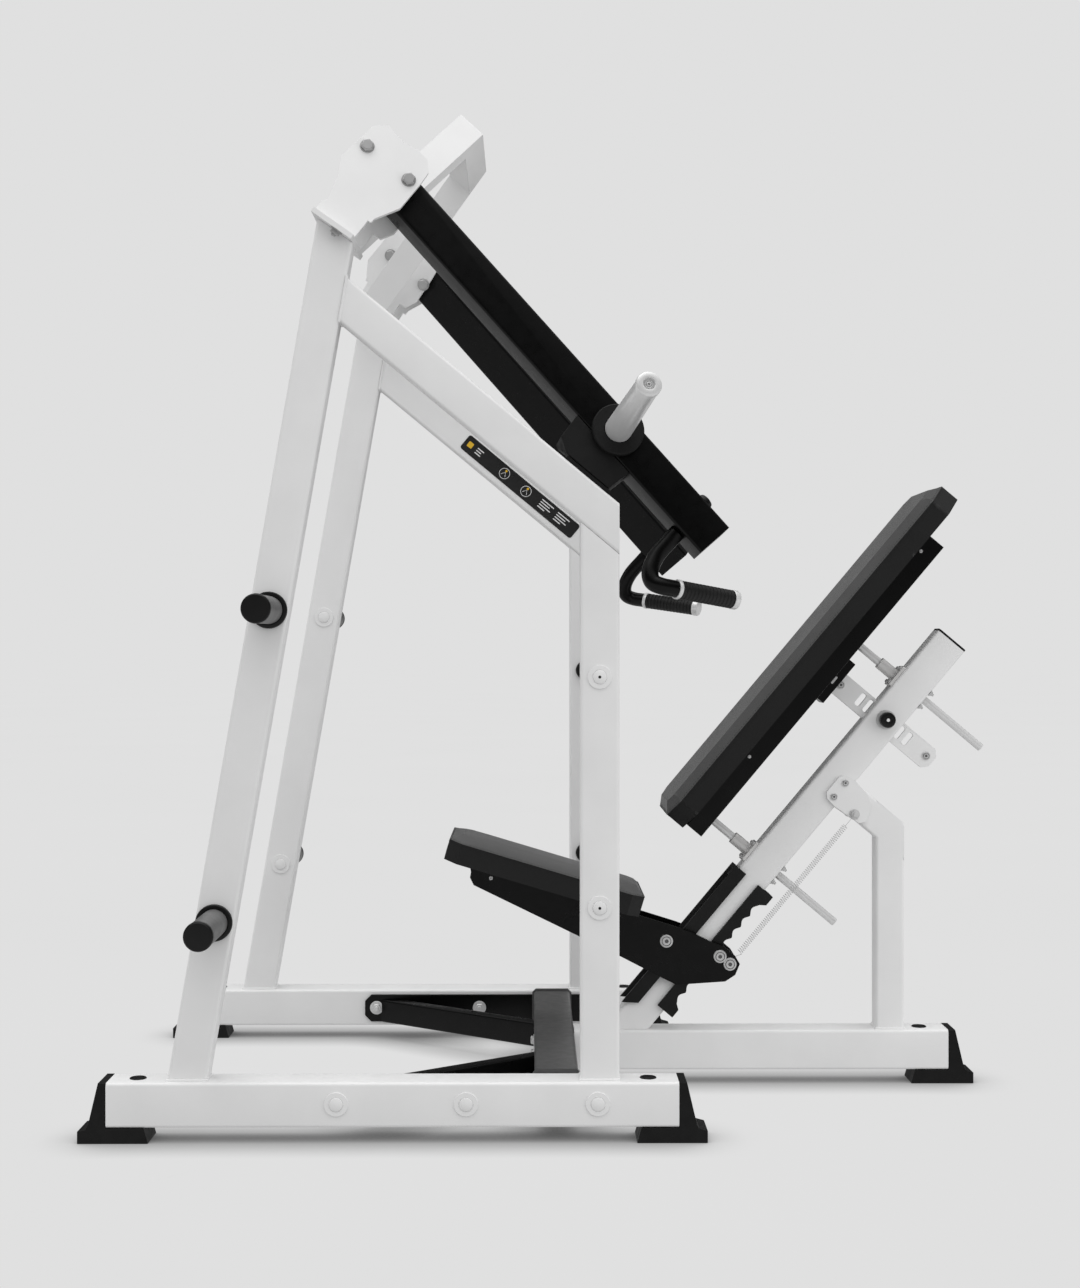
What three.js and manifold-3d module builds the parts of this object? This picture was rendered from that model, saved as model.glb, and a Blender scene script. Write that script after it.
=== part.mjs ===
// A plate-loaded shoulder press with two independent, converging lever arms.
// Millimetres, +Z up. The user sits facing -X, so +Y is the right hand side.
// The origin lies on the floor under the middle of the machine's outer box.
import * as THREE from "three";
import { ConvexGeometry } from "three/addons/geometries/ConvexGeometry.js";
import { mergeVertices } from "three/addons/utils/BufferGeometryUtils.js";
import Module from "manifold-3d";

const DEG = Math.PI / 180;
const GAP = 0.3; // left between pieces that touch
const ROUND = 24; // sides of a large turned piece
const SMALL_ROUND = 16; // sides of a small turned piece
const FAR = 600; // past every face that a cut goes through

// Floor frame
const FOOT_HEIGHT = 28;
const BEAM = { height: 80, width: 75, corner: 6 };
const BEAM_TOP = FOOT_HEIGHT + BEAM.height;
const SIDE_BEAM = { front: -753.7, rear: 265.6, inner: 390 };
const CROSSBEAM = { front: 9, rear: 89, plate: 8 };
const CROSSBEAM_PLATE = { overhang: 4, rise: 5, corner: 8 };
const FLANGE = { front: -371, rear: 148, bottom: 38.6, top: 98.6, thick: 8, corner: 14 };
const BRACE = { flangeX: -310, crossbeamY: 150, width: 32, height: 50, middle: 63 };
const SPINE = { rear: 845.5, width: 70 };
const FOOT = { outer: 51, innerTop: -67, innerBottom: -75, capTop: 14, capBottom: 32, capEnd: 36 };

// Side frames
const UPRIGHT = { inner: 400, outer: 450, width: 70, corner: 6 };
const FRONT_LEAN = 9.87 * DEG;
const FRONT_FOOT_X = -612.8; // centre line of the leaning upright at the top of the floor beam
const REAR_UPRIGHT = { front: 90, rear: 160 };
const DIAGONAL = { slope: 39.7 * DEG, endX: 160, endZ: 1139.4 };
const HEAD_PLANE = { x: -379.3, z: 1659.5, slope: 35 * DEG };
const PEG = { collarRadius: 33, collar: 10, radius: 25, length: 160, edge: 2 };
const PEGS = { upper: [-465.7, 948.4], lower: [-563.3, 391] };
const BUMPER = { start: 62, end: 141, thick: 7, inset: 3, clear: 1.2 };

// Pivot brackets and the arch that ties them
const PIVOT = new THREE.Vector3(-267.8, 365, 1741.2);
const ARM_SLOPE = 49.1 * DEG;
const ARM_TILT = 16 * DEG;
const ARM_TOE = 2.7 * DEG;
const BRACKET = { inside: 47, outside: 55, neck: 40 }; // neck: height to which the plates are short
const BRACKET_BASE = { front: -4, rear: 82, inner: 300, outer: 478, thick: 9 };
const BEARING = { radius: 26, inside: 38, bore: 15.4, depth: 46 };
const SHAFT = { radius: 15, half: 45 };
const ARCH = { flat: 136, x: -135.2, z: 1927.1, width: 58.7, height: 59.6 };
const ARCH_SLOPE = 42.6 * DEG; // of the arch's top face
const ARCH_DROP = 35.6 * DEG; // of its front and rear faces, off upright
const ARCH_LEG = { dx: -1.28, dz: -1.48, reach: 230 }; // run of each leg for every mm outwards

// Lever arms, in their own frame: X along the arm, Y along the pivot axis outwards, Z across
const ARM = { start: -50, end: 899, thick: 52, width: 74, corner: 5 };
const HUB = { radius: 37, half: 36 };
const HORN = { x: 635, z: -2, collar: 48, collarThick: 14, base: 25, tip: 21.3, end: 22.3 };
const HORN_LENGTH = { sleeve: 214, cap: 15 };
const GRIP = { start: 2, outer: 16.5, bore: 11.4, core: 11, length: 116, cap: 12 };
const HANDLE_RADIUS = 15.5;

// Seat post frame: X square to the post pointing down and back, Z up along the post
const POST_LEAN = 40 * DEG;
const POST_DATUM = 888;
const POST = { front: 615.6, rear: 685.3, half: 25, top: 553.5, corner: 6, cap: 4 };
const COLUMN = { front: 701, rear: 758 };
const STAY = { low: 150, high: 209 }; // the sloping part of the rear support, along the post
const TRACK = { front: 606.9, rear: 633.6, low: -434.7, high: -75.5, thick: 7.7, stop: 24 };
const RACK = { front: 666.7, rear: 705.4, low: -393.5, high: -76.5, block: 20, thick: 7.7 };
const NOTCH = { first: -121, pitch: 28.8, count: 9, tip: 693 };
const ROLLER = { x: 594.8, z: -281.6, radius: 20.6, half: 24, axle: 8 };
const LOCK_PIN = { x: 697.5, z: -236, radius: 4 };
const SPRING = { x: 723.5, y: -35, low: -205, high: 135, radius: 6.5 };
const CARRIAGE = { inner: 37, outer: 45, board: 5 };
const PLATES_GUSSET = { inner: 25.3, outer: 31.3 };
const GUIDES = { upper: 428.9, lower: -35.7 };
const GUIDE = { rod: 8, bore: 8.4, outer: 12.5, front: 570, flangeHalf: 24, flange: 6 };
const GUIDE_REAR = 840.5;
const SLOT = { first: 588.8, pitch: 20.7, count: 7, locked: 3 }; // locked: the slot the pin is in
const SLOT_HOLE = { length: 29, width: 11.6, corner: 4.5, height: 346 };
const ADJUSTER = { front: 525, rear: 782.8, middle: 343, half: 24.2, thick: 8, corner: 12 };
const PULL = { tip: 4.5, radius: 5, stem: 32, knob: 17, knobLength: 20, collar: 9 };
const CLAMP = { back: 532, low: 290, high: 392, half: 26 };

// Pads: a flat face, sloping flanks and straight sides
const SEAT_PAD = { length: 395, half: 140, flatHalf: 62, side: 41, crown: 57, end: 16 };
const SEAT_PAD_AT = { x: -168, z: 463, slope: 16.6 * DEG };
const BACK_PAD = { front: 409.6, flank: 425.4, back: 466.6, low: -86, high: 756, end: 40 };
const BACK_PAD_HALF = { flat: 95, side: 140 };
const BACK_BOARD = { back: 503, half: 120, low: -74, high: 671 };

const wasm = await Module();
wasm.setup();

const X = new THREE.Vector3(1, 0, 0);
const Y = new THREE.Vector3(0, 1, 0);
const Z = new THREE.Vector3(0, 0, 1);

/** A coloured surface. */
function finish(color, roughness, metalness) {
  return new THREE.MeshStandardMaterial({ color, roughness, metalness, flatShading: true });
}

const MATERIALS = {
  white: finish(0xe4e4e4, 0.5, 0.2),
  black: finish(0x0f0f10, 0.5, 0.3),
  rubber: finish(0x1c1c1d, 0.85, 0),
  chrome: finish(0xc8c8ca, 0.2, 1),
  darkTube: finish(0x2a2a2c, 0.55, 0.4),
  pad: finish(0x2b2b2c, 0.75, 0),
};

/** A three.js geometry as a solid that can be joined and cut. */
function solidOf(geometry, matrix = new THREE.Matrix4()) {
  const plain = geometry.index ? geometry.toNonIndexed() : geometry.clone();
  plain.deleteAttribute("normal");
  plain.deleteAttribute("uv");
  const merged = mergeVertices(plain.applyMatrix4(matrix), 1e-4);
  const triVerts = new Uint32Array(merged.index.array);
  const vertProperties = merged.getAttribute("position").array;
  return new wasm.Manifold(new wasm.Mesh({ numProp: 3, vertProperties, triVerts }));
}

/** A solid as a three.js geometry. */
function geometryOf(solid) {
  const { vertProperties, triVerts } = solid.getMesh();
  const geometry = new THREE.BufferGeometry();
  geometry.setAttribute("position", new THREE.BufferAttribute(vertProperties, 3));
  geometry.setIndex(new THREE.BufferAttribute(triVerts, 1));
  return geometry;
}

/** The matrix whose axes are the three directions, at a place. */
function frameOf(x, y, z, at = new THREE.Vector3()) {
  return new THREE.Matrix4().makeBasis(x, y, z).setPosition(at);
}

/** A block between two corners. */
function block([x0, x1], [y0, y1], [z0, z1]) {
  const geometry = new THREE.BoxGeometry(x1 - x0, y1 - y0, z1 - z0);
  geometry.translate((x0 + x1) / 2, (y0 + y1) / 2, (z0 + z1) / 2);
  return solidOf(geometry);
}

/** An outline of [x, z] points made solid between two values of y. */
function plateY(outline, [y0, y1]) {
  const shape = new THREE.Shape(outline.map(([x, z]) => new THREE.Vector2(x, z)));
  const geometry = new THREE.ExtrudeGeometry(shape, { depth: y1 - y0, bevelEnabled: false });
  return solidOf(geometry, frameOf(X, Z, Y.clone().negate(), new THREE.Vector3(0, y1, 0)));
}

/** A rectangle with rounded corners round the origin. */
function roundedRectangle(width, height, radius) {
  const [x, y] = [width / 2 - radius, height / 2 - radius];
  const shape = new THREE.Shape();
  shape.absarc(x, y, radius, 0, 90 * DEG);
  shape.absarc(-x, y, radius, 90 * DEG, 180 * DEG);
  shape.absarc(-x, -y, radius, 180 * DEG, 270 * DEG);
  shape.absarc(x, -y, radius, 270 * DEG, 360 * DEG);
  return shape;
}

/** A rectangular tube between two points: its width lies along `across`. */
function bar(from, to, [width, height, radius], across = Y) {
  const start = new THREE.Vector3(...from);
  const along = new THREE.Vector3(...to).sub(start);
  const depth = along.length();
  along.normalize();
  const up = along.clone().cross(across).normalize();
  const side = up.clone().cross(along);
  const section = roundedRectangle(width, height, radius);
  const options = { depth, bevelEnabled: false, curveSegments: 3 };
  return solidOf(new THREE.ExtrudeGeometry(section, options), frameOf(side, up, along, start));
}

/** A turned solid from [radius, height] points, standing on `at` along a direction. */
function turned(profile, at, direction = Y, segments = ROUND) {
  const points = profile.map(([r, h]) => new THREE.Vector2(r, h));
  const geometry = new THREE.LatheGeometry(points, segments);
  const turn = new THREE.Quaternion().setFromUnitVectors(Y, direction);
  const place = new THREE.Matrix4().compose(new THREE.Vector3(...at), turn, new THREE.Vector3(1, 1, 1));
  return solidOf(geometry, place);
}

/** A plain round rod from a point along a direction. */
function rod(radius, length, at, direction = Y, segments = ROUND) {
  return turned([[0, 0], [radius, 0], [radius, length], [0, length]], at, direction, segments);
}

/** The closed form round a set of [x, y, z] points. */
function hull(points) {
  return solidOf(new ConvexGeometry(points.map((p) => new THREE.Vector3(...p))));
}

// ---------------------------------------------------------------- floor frame

/** A straight beam of the floor frame along X. */
function floorBeam(x0, x1, y, width) {
  const z = FOOT_HEIGHT + BEAM.height / 2;
  return bar([x0, y, z], [x1, y, z], [width, BEAM.height, BEAM.corner]);
}

/** A rubber foot with its end cap, on a beam that ends at `end` towards `direction`. */
function foot(end, direction, [y0, y1]) {
  const top = FOOT_HEIGHT - GAP;
  const outline = [
    [FOOT.outer, 0], [FOOT.innerBottom, 0], [FOOT.innerTop, top], [GAP, top], [GAP, BEAM_TOP],
    [FOOT.capTop, BEAM_TOP], [FOOT.capBottom, top + 4], [FOOT.capEnd, top - 2], [FOOT.outer, top - 6],
  ];
  return plateY(outline.map(([x, z]) => [end + direction * x, z]), [y0, y1]);
}

/** The plate on the inner face of a side beam that the crossbeam and its brace bolt to. */
function crossbeamFlange() {
  const { front, rear, bottom, top, corner } = FLANGE;
  const outer = SIDE_BEAM.inner - GAP;
  const outline = [
    [front + corner, bottom], [rear, bottom], [rear, top], [front + corner, top],
    [front, top - corner], [front, bottom + corner],
  ];
  return plateY(outline, [outer - FLANGE.thick, outer]);
}

const FLANGE_FACE = SIDE_BEAM.inner - FLANGE.thick - 2 * GAP;

/** The diagonal tube from the crossbeam's front face out to the flange. */
function baseBrace() {
  const z = BRACE.middle;
  const tube = bar(
    [CROSSBEAM.front + 60, BRACE.crossbeamY - 44, z],
    [BRACE.flangeX - 60, FLANGE_FACE + 44, z],
    [BRACE.height, BRACE.width, 4],
    Z,
  );
  const room = block([FLANGE.front, CROSSBEAM.front - GAP], [0, FLANGE_FACE - GAP], [0, 200]);
  return tube.intersect(room);
}

/** The crossbeam with a bolting plate at each end. */
function crossbeam() {
  const { front, rear, plate } = CROSSBEAM;
  const { overhang, rise, corner } = CROSSBEAM_PLATE;
  const x = (front + rear) / 2;
  const z = FOOT_HEIGHT + BEAM.height / 2;
  const half = FLANGE_FACE - GAP;
  const tube = bar([x, -half, z], [x, half, z], [rear - front, BEAM.height, BEAM.corner], X);
  const [x0, x1, top] = [front - overhang, rear + overhang, BEAM_TOP + rise];
  const outline = [
    [x0, FOOT_HEIGHT], [x1, FOOT_HEIGHT], [x1, top - corner], [x1 - corner, top],
    [x0 + corner, top], [x0, top - corner],
  ];
  const right = plateY(outline, [half - plate, half]);
  const left = plateY(outline, [-half, plate - half]);
  const spineSeat = block([rear - GAP, x1 + 1], [-60, 60], [0, top]);
  return tube.add(right).add(left).subtract(spineSeat);
}

// ---------------------------------------------------------------- side frames

/** The x of the leaning upright's centre line at a height. */
function leanAt(z) {
  return FRONT_FOOT_X + (z - BEAM_TOP) * Math.tan(FRONT_LEAN);
}

const FRONT_HALF = UPRIGHT.width / 2 / Math.cos(FRONT_LEAN); // half its level width

/** A point on the sloping head of the upright: along the slope, then square to it. */
function onHead(along, up) {
  const { x, z, slope } = HEAD_PLANE;
  return [
    x + along * Math.cos(slope) + up * Math.sin(slope),
    z - along * Math.sin(slope) + up * Math.cos(slope),
  ];
}

/** Everything below a height over the head plane, on one side or across the machine. */
function belowHead(up, from = 0) {
  return plateY([onHead(-FAR, up), onHead(FAR, up), [FAR, 0], [-2 * FAR, 0]], [from, FAR]);
}

const SIDE_MIDDLE = (UPRIGHT.inner + UPRIGHT.outer) / 2;
const SIDE_WIDTH = UPRIGHT.outer - UPRIGHT.inner;

/** The leaning front upright, cut square to the floor beam and along the head. */
function frontUpright() {
  const tube = bar(
    [leanAt(0), SIDE_MIDDLE, 0],
    [leanAt(1800), SIDE_MIDDLE, 1800],
    [SIDE_WIDTH, UPRIGHT.width, UPRIGHT.corner],
  );
  const room = block([-900, 600], [0, 600], [BEAM_TOP + GAP, 1800]);
  return tube.intersect(room).intersect(belowHead(-BRACKET_BASE.thick - GAP));
}

/** A point of the diagonal: along it from its rear end, then square to its upper face. */
function onDiagonal(along, up) {
  const { slope, endX, endZ } = DIAGONAL;
  return [
    endX - along * Math.cos(slope) + up * Math.sin(slope),
    endZ + along * Math.sin(slope) + up * Math.cos(slope),
  ];
}

/** The sloping beam between the two uprights. */
function diagonalBeam() {
  const reach = 800;
  const [x0, z0] = onDiagonal(-100, -UPRIGHT.width / 2);
  const [x1, z1] = onDiagonal(reach, -UPRIGHT.width / 2);
  const section = [SIDE_WIDTH, UPRIGHT.width, UPRIGHT.corner];
  const tube = bar([x0, SIDE_MIDDLE, z0], [x1, SIDE_MIDDLE, z1], section);
  const inner = (z) => [leanAt(z) + FRONT_HALF + GAP, z];
  const room = plateY([inner(900), [DIAGONAL.endX, 900], [DIAGONAL.endX, 1800], inner(1800)], [0, 600]);
  return tube.intersect(room);
}

/** The straight rear upright, cut along the underside of the diagonal. */
function rearUpright() {
  const x = (REAR_UPRIGHT.front + REAR_UPRIGHT.rear) / 2;
  const section = [SIDE_WIDTH, REAR_UPRIGHT.rear - REAR_UPRIGHT.front, UPRIGHT.corner];
  const tube = bar([x, SIDE_MIDDLE, BEAM_TOP + GAP], [x, SIDE_MIDDLE, 1200], section);
  const depth = -UPRIGHT.width - GAP;
  const room = [onDiagonal(-200, depth), onDiagonal(400, depth), [-200, 0], [400, 0]];
  return tube.intersect(plateY(room, [0, 600]));
}

/** A peg for spare plates, standing out from the front upright. */
function storagePeg([x, z]) {
  const { collarRadius, collar, radius, length, edge } = PEG;
  const profile = [
    [0, 0], [collarRadius, 0], [collarRadius, collar - edge], [collarRadius - edge, collar],
    [radius, collar], [radius, length - edge], [radius - edge, length], [0, length],
  ];
  return turned(profile, [x, UPRIGHT.outer + GAP, z]);
}

/** The rubber strip on the diagonal that the arm comes down on. */
function restBumper() {
  const [from, to] = [BUMPER.end, BUMPER.start].map((x) => (DIAGONAL.endX - x) / Math.cos(DIAGONAL.slope));
  const outline = [
    onDiagonal(from, GAP), onDiagonal(from + 2, BUMPER.thick), onDiagonal(to - 2, BUMPER.thick),
    onDiagonal(to, GAP),
  ];
  return plateY(outline, [UPRIGHT.inner + BUMPER.inset, UPRIGHT.outer - BUMPER.inset]);
}

// ------------------------------------------------------- pivot brackets, arch

const ARM_TURN = new THREE.Euler(ARM_TILT, ARM_SLOPE, ARM_TOE, "YXZ");
const ARM_FRAME = new THREE.Matrix4().makeRotationFromEuler(ARM_TURN).setPosition(PIVOT);
const TO_ARM = ARM_FRAME.clone().invert();

/** A solid carried from the arm's frame to the machine's, or back. */
function carried(solid, matrix) {
  return solidOf(geometryOf(solid), matrix);
}

/** The outline that both bracket plates share, in the arm's frame. */
const BRACKET_OUTLINE = [
  [-72, 30], [-57, 53], [-14, 53], [14, 64], [38, 65], [58, 50], [66, 22], [79, -38],
  [66, -88], [90, -250], [-60, -250], [-13, -129], [-36, -86], [-62, -56], [-68, 0],
];

/** A block over the bracket's base: its run along the head, its height over it and its run across. */
function overHead([start, end], [low, high], across) {
  return plateY([onHead(start, low), onHead(end, low), onHead(end, high), onHead(start, high)], across);
}

/** A plate of the bracket with its bearing housing: `side` is 1 on the outer one. */
function bracketPlate(side) {
  const { inside, outside } = BRACKET;
  const housing = inside - BEARING.inside + 1;
  const [from, to] = side > 0 ? [inside, outside] : [-outside, -inside];
  const foot = side > 0 ? BEARING.inside : -inside - 1;
  return plateY(BRACKET_OUTLINE, [from, to]).add(rod(BEARING.radius, housing, [0, foot, 0], Y, SMALL_ROUND));
}

/** The bracket: two plates square to the pivot axis on a sloping base, with bearing housings. */
function pivotBracket() {
  const { front, rear, inner, outer, thick } = BRACKET_BASE;
  const bore = rod(BEARING.bore, 2 * BEARING.depth, [0, -BEARING.depth, 0], Y, SMALL_ROUND);
  const plates = carried(bracketPlate(1).add(bracketPlate(-1)).subtract(bore), ARM_FRAME);
  const neck = overHead([front, rear], [-thick, BRACKET.neck], [0, FAR]);
  const head = overHead([-FAR, FAR], [BRACKET.neck - 1, FAR], [0, FAR]);
  const foot = overHead([front, rear], [-thick, 0], [inner, outer]);
  return plates.intersect(neck.add(head)).subtract(belowHead(-thick / 2)).add(foot);
}

/** The four corners of the arch's section, as [x, z]. */
function archCorners() {
  const { x, z, width, height } = ARCH;
  const rear = [x + width * Math.cos(ARCH_SLOPE), z - width * Math.sin(ARCH_SLOPE)];
  const below = ([px, pz]) => [px - height * Math.sin(ARCH_DROP), pz - height * Math.cos(ARCH_DROP)];
  return [[x, z], rear, below(rear), below([x, z])];
}

/** The bent beam that ties the two brackets over the user's head. */
function archBeam() {
  const { flat } = ARCH;
  const corners = archCorners();
  const middle = hull(corners.flatMap(([x, z]) => [[x, -flat, z], [x, flat, z]]));
  const legs = [-1, 1].map((side) => {
    const { dx, dz, reach } = ARCH_LEG;
    const end = corners.map(([x, z]) => [x + dx * reach, side * (flat + reach), z + dz * reach]);
    const leg = hull([...corners.map(([x, z]) => [x, side * flat, z]), ...end]);
    return leg.subtract(belowHead(GAP, -FAR));
  });
  return middle.add(legs[0]).add(legs[1]);
}

// ------------------------------------------------------------------ lever arm

/** The shaft that the arm turns on. */
function pivotShaft() {
  return rod(SHAFT.radius, 2 * SHAFT.half, [0, -SHAFT.half, 0], Y, SMALL_ROUND);
}

/** The arm's tube with its hub. */
function leverArm() {
  const { start, end, thick, width, corner } = ARM;
  const tube = bar([start, 0, 0], [end, 0, 0], [thick, width, corner]);
  const hub = rod(HUB.radius, 2 * HUB.half, [0, -HUB.half, 0]);
  const bore = rod(SHAFT.radius + 2 * GAP, 200, [0, -100, 0], Y, SMALL_ROUND);
  return tube.add(hub).subtract(bore);
}

/** The horn that takes the weight plates. */
function weightHorn() {
  const { collar, collarThick, base, tip, end } = HORN;
  const { sleeve, cap } = HORN_LENGTH;
  const top = collarThick + sleeve;
  const profile = [
    [0, 0], [collar, 0], [collar, collarThick - 3], [collar - 3, collarThick], [base, collarThick],
    [tip, top], [end, top], [end, top + cap - 5], [end - 5, top + cap], [0, top + cap],
  ];
  return turned(profile, [HORN.x, ARM.thick / 2 + GAP, HORN.z]);
}

/** The block under the arm that meets the bumper, cut level with it. */
function restBlock() {
  const top = -ARM.width / 2 - GAP;
  const outline = [[566, top], [577, -88], [630, -112], [703, -104], [706, top]];
  const body = plateY(outline, [-ARM.thick / 2, ARM.thick / 2]);
  const lift = BUMPER.thick + BUMPER.clear;
  const upper = [onDiagonal(-FAR / 2, lift), onDiagonal(FAR, lift)];
  const lower = [onDiagonal(FAR, -FAR), onDiagonal(-FAR / 2, -FAR)];
  return body.subtract(carried(plateY([...upper, ...lower], [0, FAR]), TO_ARM));
}

const GRIP_START = new THREE.Vector3(921.7, -11.4, -102.6);
const GRIP_DIRECTION = new THREE.Vector3(86.2, -41.6, 87.4).normalize();

/** The bent tube of the handle, with a thin core under the grip and an end cap. */
function handle() {
  const top = -ARM.width / 2 - GAP;
  const path = new THREE.CatmullRomCurve3([
    new THREE.Vector3(843, -1, top),
    new THREE.Vector3(845, -6, -55),
    new THREE.Vector3(849.9, -9, -91.2),
    new THREE.Vector3(862.3, -7.4, -119.9),
    new THREE.Vector3(879.6, -3.5, -132.6),
    new THREE.Vector3(896.7, -0.6, -126.9),
    GRIP_START.clone().addScaledVector(GRIP_DIRECTION, -12),
    GRIP_START,
  ]);
  const ring = new THREE.Shape().absarc(0, 0, HANDLE_RADIUS, 0, 360 * DEG);
  const options = { steps: 11, curveSegments: 12, extrudePath: path };
  const neck = solidOf(new THREE.ExtrudeGeometry(ring, options));
  const above = block([700, 1000], [-100, 100], [top, 0]);
  const { core, length, cap, outer } = GRIP;
  const end = GAP + length;
  const profile = [
    [0, -4], [core, -4], [core, end], [outer - 1, end], [outer - 1, end + cap - 3],
    [outer - 5, end + cap], [0, end + cap],
  ];
  const shank = turned(profile, GRIP_START.toArray(), GRIP_DIRECTION, SMALL_ROUND);
  return neck.subtract(above).add(shank);
}

/** The rubber sleeve of the handle. */
function handleGrip() {
  const { start, outer, bore, length } = GRIP;
  const profile = [[bore, start], [outer, start], [outer, length], [bore, length], [bore, start]];
  return turned(profile, GRIP_START.toArray(), GRIP_DIRECTION, SMALL_ROUND);
}

// ---------------------------------------------------- seat post, rear support

const POST_TURN = new THREE.Euler(0, POST_LEAN, 0);
const POST_FRAME = new THREE.Matrix4().makeRotationFromEuler(POST_TURN).setPosition(0, 0, POST_DATUM);
const TO_POST = POST_FRAME.clone().invert();

/** A point of the post's frame in the machine's, as [x, z]. */
function fromPost(x, z) {
  const p = new THREE.Vector3(x, 0, z).applyMatrix4(POST_FRAME);
  return [p.x, p.z];
}

/** Everything over the floor frame, in the post's frame. */
function overFloorFrame() {
  return carried(block([-500, 1500], [-300, 300], [BEAM_TOP + GAP, 3000]), TO_POST);
}

/** The leaning post, with bores for the guides and a slot for the adjuster plate. */
function seatPost() {
  const { front, rear, half, top, corner } = POST;
  const x = (front + rear) / 2;
  let post = bar([x, 0, -600], [x, 0, top], [2 * half, rear - front, corner]);
  for (const z of Object.values(GUIDES)) {
    post = post.subtract(rod(GUIDE.outer + 2 * GAP, 200, [600, 0, z], X, SMALL_ROUND));
  }
  const slot = adjusterRoom([front - 20, rear + 20], 1, 1.5);
  const pinStart = [slotX(SLOT.locked), -half - 1, SLOT_HOLE.height];
  const pinHole = rod(PULL.radius + 0.5, half, pinStart, Y, SMALL_ROUND);
  return post.subtract(slot).subtract(pinHole).intersect(overFloorFrame());
}

/** The room of the adjuster plate along part of its run, with play at its faces and edges. */
function adjusterRoom(along, facePlay, edgePlay) {
  const { middle, half, thick } = ADJUSTER;
  const across = thick / 2 + facePlay;
  const up = half + edgePlay;
  return block(along, [-across, across], [middle - up, middle + up]);
}

/** The thin cap on the post's upper end. */
function postCap() {
  const { front, rear, half, top, cap, corner } = POST;
  const x = (front + rear) / 2;
  const z = top + GAP;
  return bar([x, 0, z], [x, 0, z + cap], [2 * half, rear - front, corner]);
}

/** The bent support behind the post. */
function rearSupport() {
  const { front, rear } = COLUMN;
  const middle = (front + rear) / 2;
  const section = [2 * POST.half, rear - front, POST.corner];
  const column = bar([middle, 0, BEAM_TOP + GAP], [middle, 0, 700], section);
  const stayZ = (STAY.low + STAY.high) / 2;
  const face = POST.rear + GAP;
  const [x0, z0] = fromPost(face, stayZ);
  const [x1, z1] = fromPost(900, stayZ);
  const stay = bar([x0, 0, z0], [x1, 0, z1], [2 * POST.half, STAY.high - STAY.low, POST.corner]);
  const [ax, az] = fromPost(face, STAY.high);
  const [bx, bz] = fromPost(1000, STAY.high);
  const under = plateY([[ax, az], [bx, bz], [bx, 0], [ax, 0]], [-FAR, FAR]);
  const before = block([0, rear], [-FAR, FAR], [0, 2 * FAR]);
  return column.intersect(under).add(stay.intersect(before));
}

/** The rounded gusset that ties the post to its support, on the outward side. */
function supportGusset() {
  const outline = [
    [658, 204], [678, 211.7], [720, 205.5], [738, 196], [745, 180], [751.5, 160], [742, 150],
    [721, 147.6], [683, 144], [661, 146.7], [652, 156], [652, 196],
  ];
  return plateY(outline, [PLATES_GUSSET.inner, PLATES_GUSSET.outer]);
}

/** Wear strips on both flanks of the post, joined by the upper stop. */
function seatTrack() {
  const { front, rear, low, high, thick, stop } = TRACK;
  const inner = POST.half + GAP;
  const outer = inner + thick;
  const outline = [[front, low], [rear, low + 20], [rear, high], [front, high]];
  const bridge = block([front, POST.front - GAP], [-outer, outer], [high - stop, high]);
  return plateY(outline, [inner, outer]).add(plateY(outline, [-outer, -inner])).add(bridge);
}

/** The outline of a rack plate with its row of notches, in the post's frame. */
function rackOutline() {
  const { front, rear, low, high, block: blockLength } = RACK;
  const { first, pitch, count, tip } = NOTCH;
  const outline = [[front, low], [rear, low], [rear, low + blockLength]];
  for (let i = count - 1; i >= 0; i -= 1) {
    const z = first - i * pitch;
    outline.push([tip, z - pitch / 2 + 4], [tip - 4, z - 6], [tip - 5.5, z], [tip - 4, z + 6]);
  }
  outline.push([tip, first + pitch / 2], [rear, first + pitch / 2 + 8], [rear, high], [front, high]);
  return outline;
}

/** The notched plates on both flanks of the post, joined behind it at their ends. */
function seatRack() {
  const { rear, low, high, block: blockLength, thick } = RACK;
  const inner = POST.half + GAP;
  const outer = inner + thick;
  const bridge = (z) => block([POST.rear + GAP, rear], [-outer, outer], [z, z + blockLength]);
  const plates = plateY(rackOutline(), [inner, outer]).add(plateY(rackOutline(), [-outer, -inner]));
  return plates.add(bridge(low)).add(bridge(high - blockLength));
}

/** The flanged bushing that a guide rod slides in. */
function guideBushing(z) {
  const { bore, outer, front, flangeHalf, flange } = GUIDE;
  const face = POST.front - GAP;
  const sleeve = rod(outer, POST.rear - front, [front, 0, z], X, SMALL_ROUND);
  const collar = bar([face - flange, 0, z], [face, 0, z], [2 * flangeHalf, 2 * flangeHalf, 5]);
  return sleeve.add(collar).subtract(rod(bore, 300, [500, 0, z], X, SMALL_ROUND));
}

// ----------------------------------------------------------------------- seat

/** A point on the underside of the seat pad in the post's frame: along it, then above it. */
function underSeat(along, up) {
  const { x, z, slope } = SEAT_PAD_AT;
  const place = new THREE.Vector3(
    x + along * Math.cos(slope) + up * Math.sin(slope), 0,
    z - along * Math.sin(slope) + up * Math.cos(slope),
  );
  const p = place.applyMatrix4(TO_POST);
  return [p.x, p.z];
}

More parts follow.
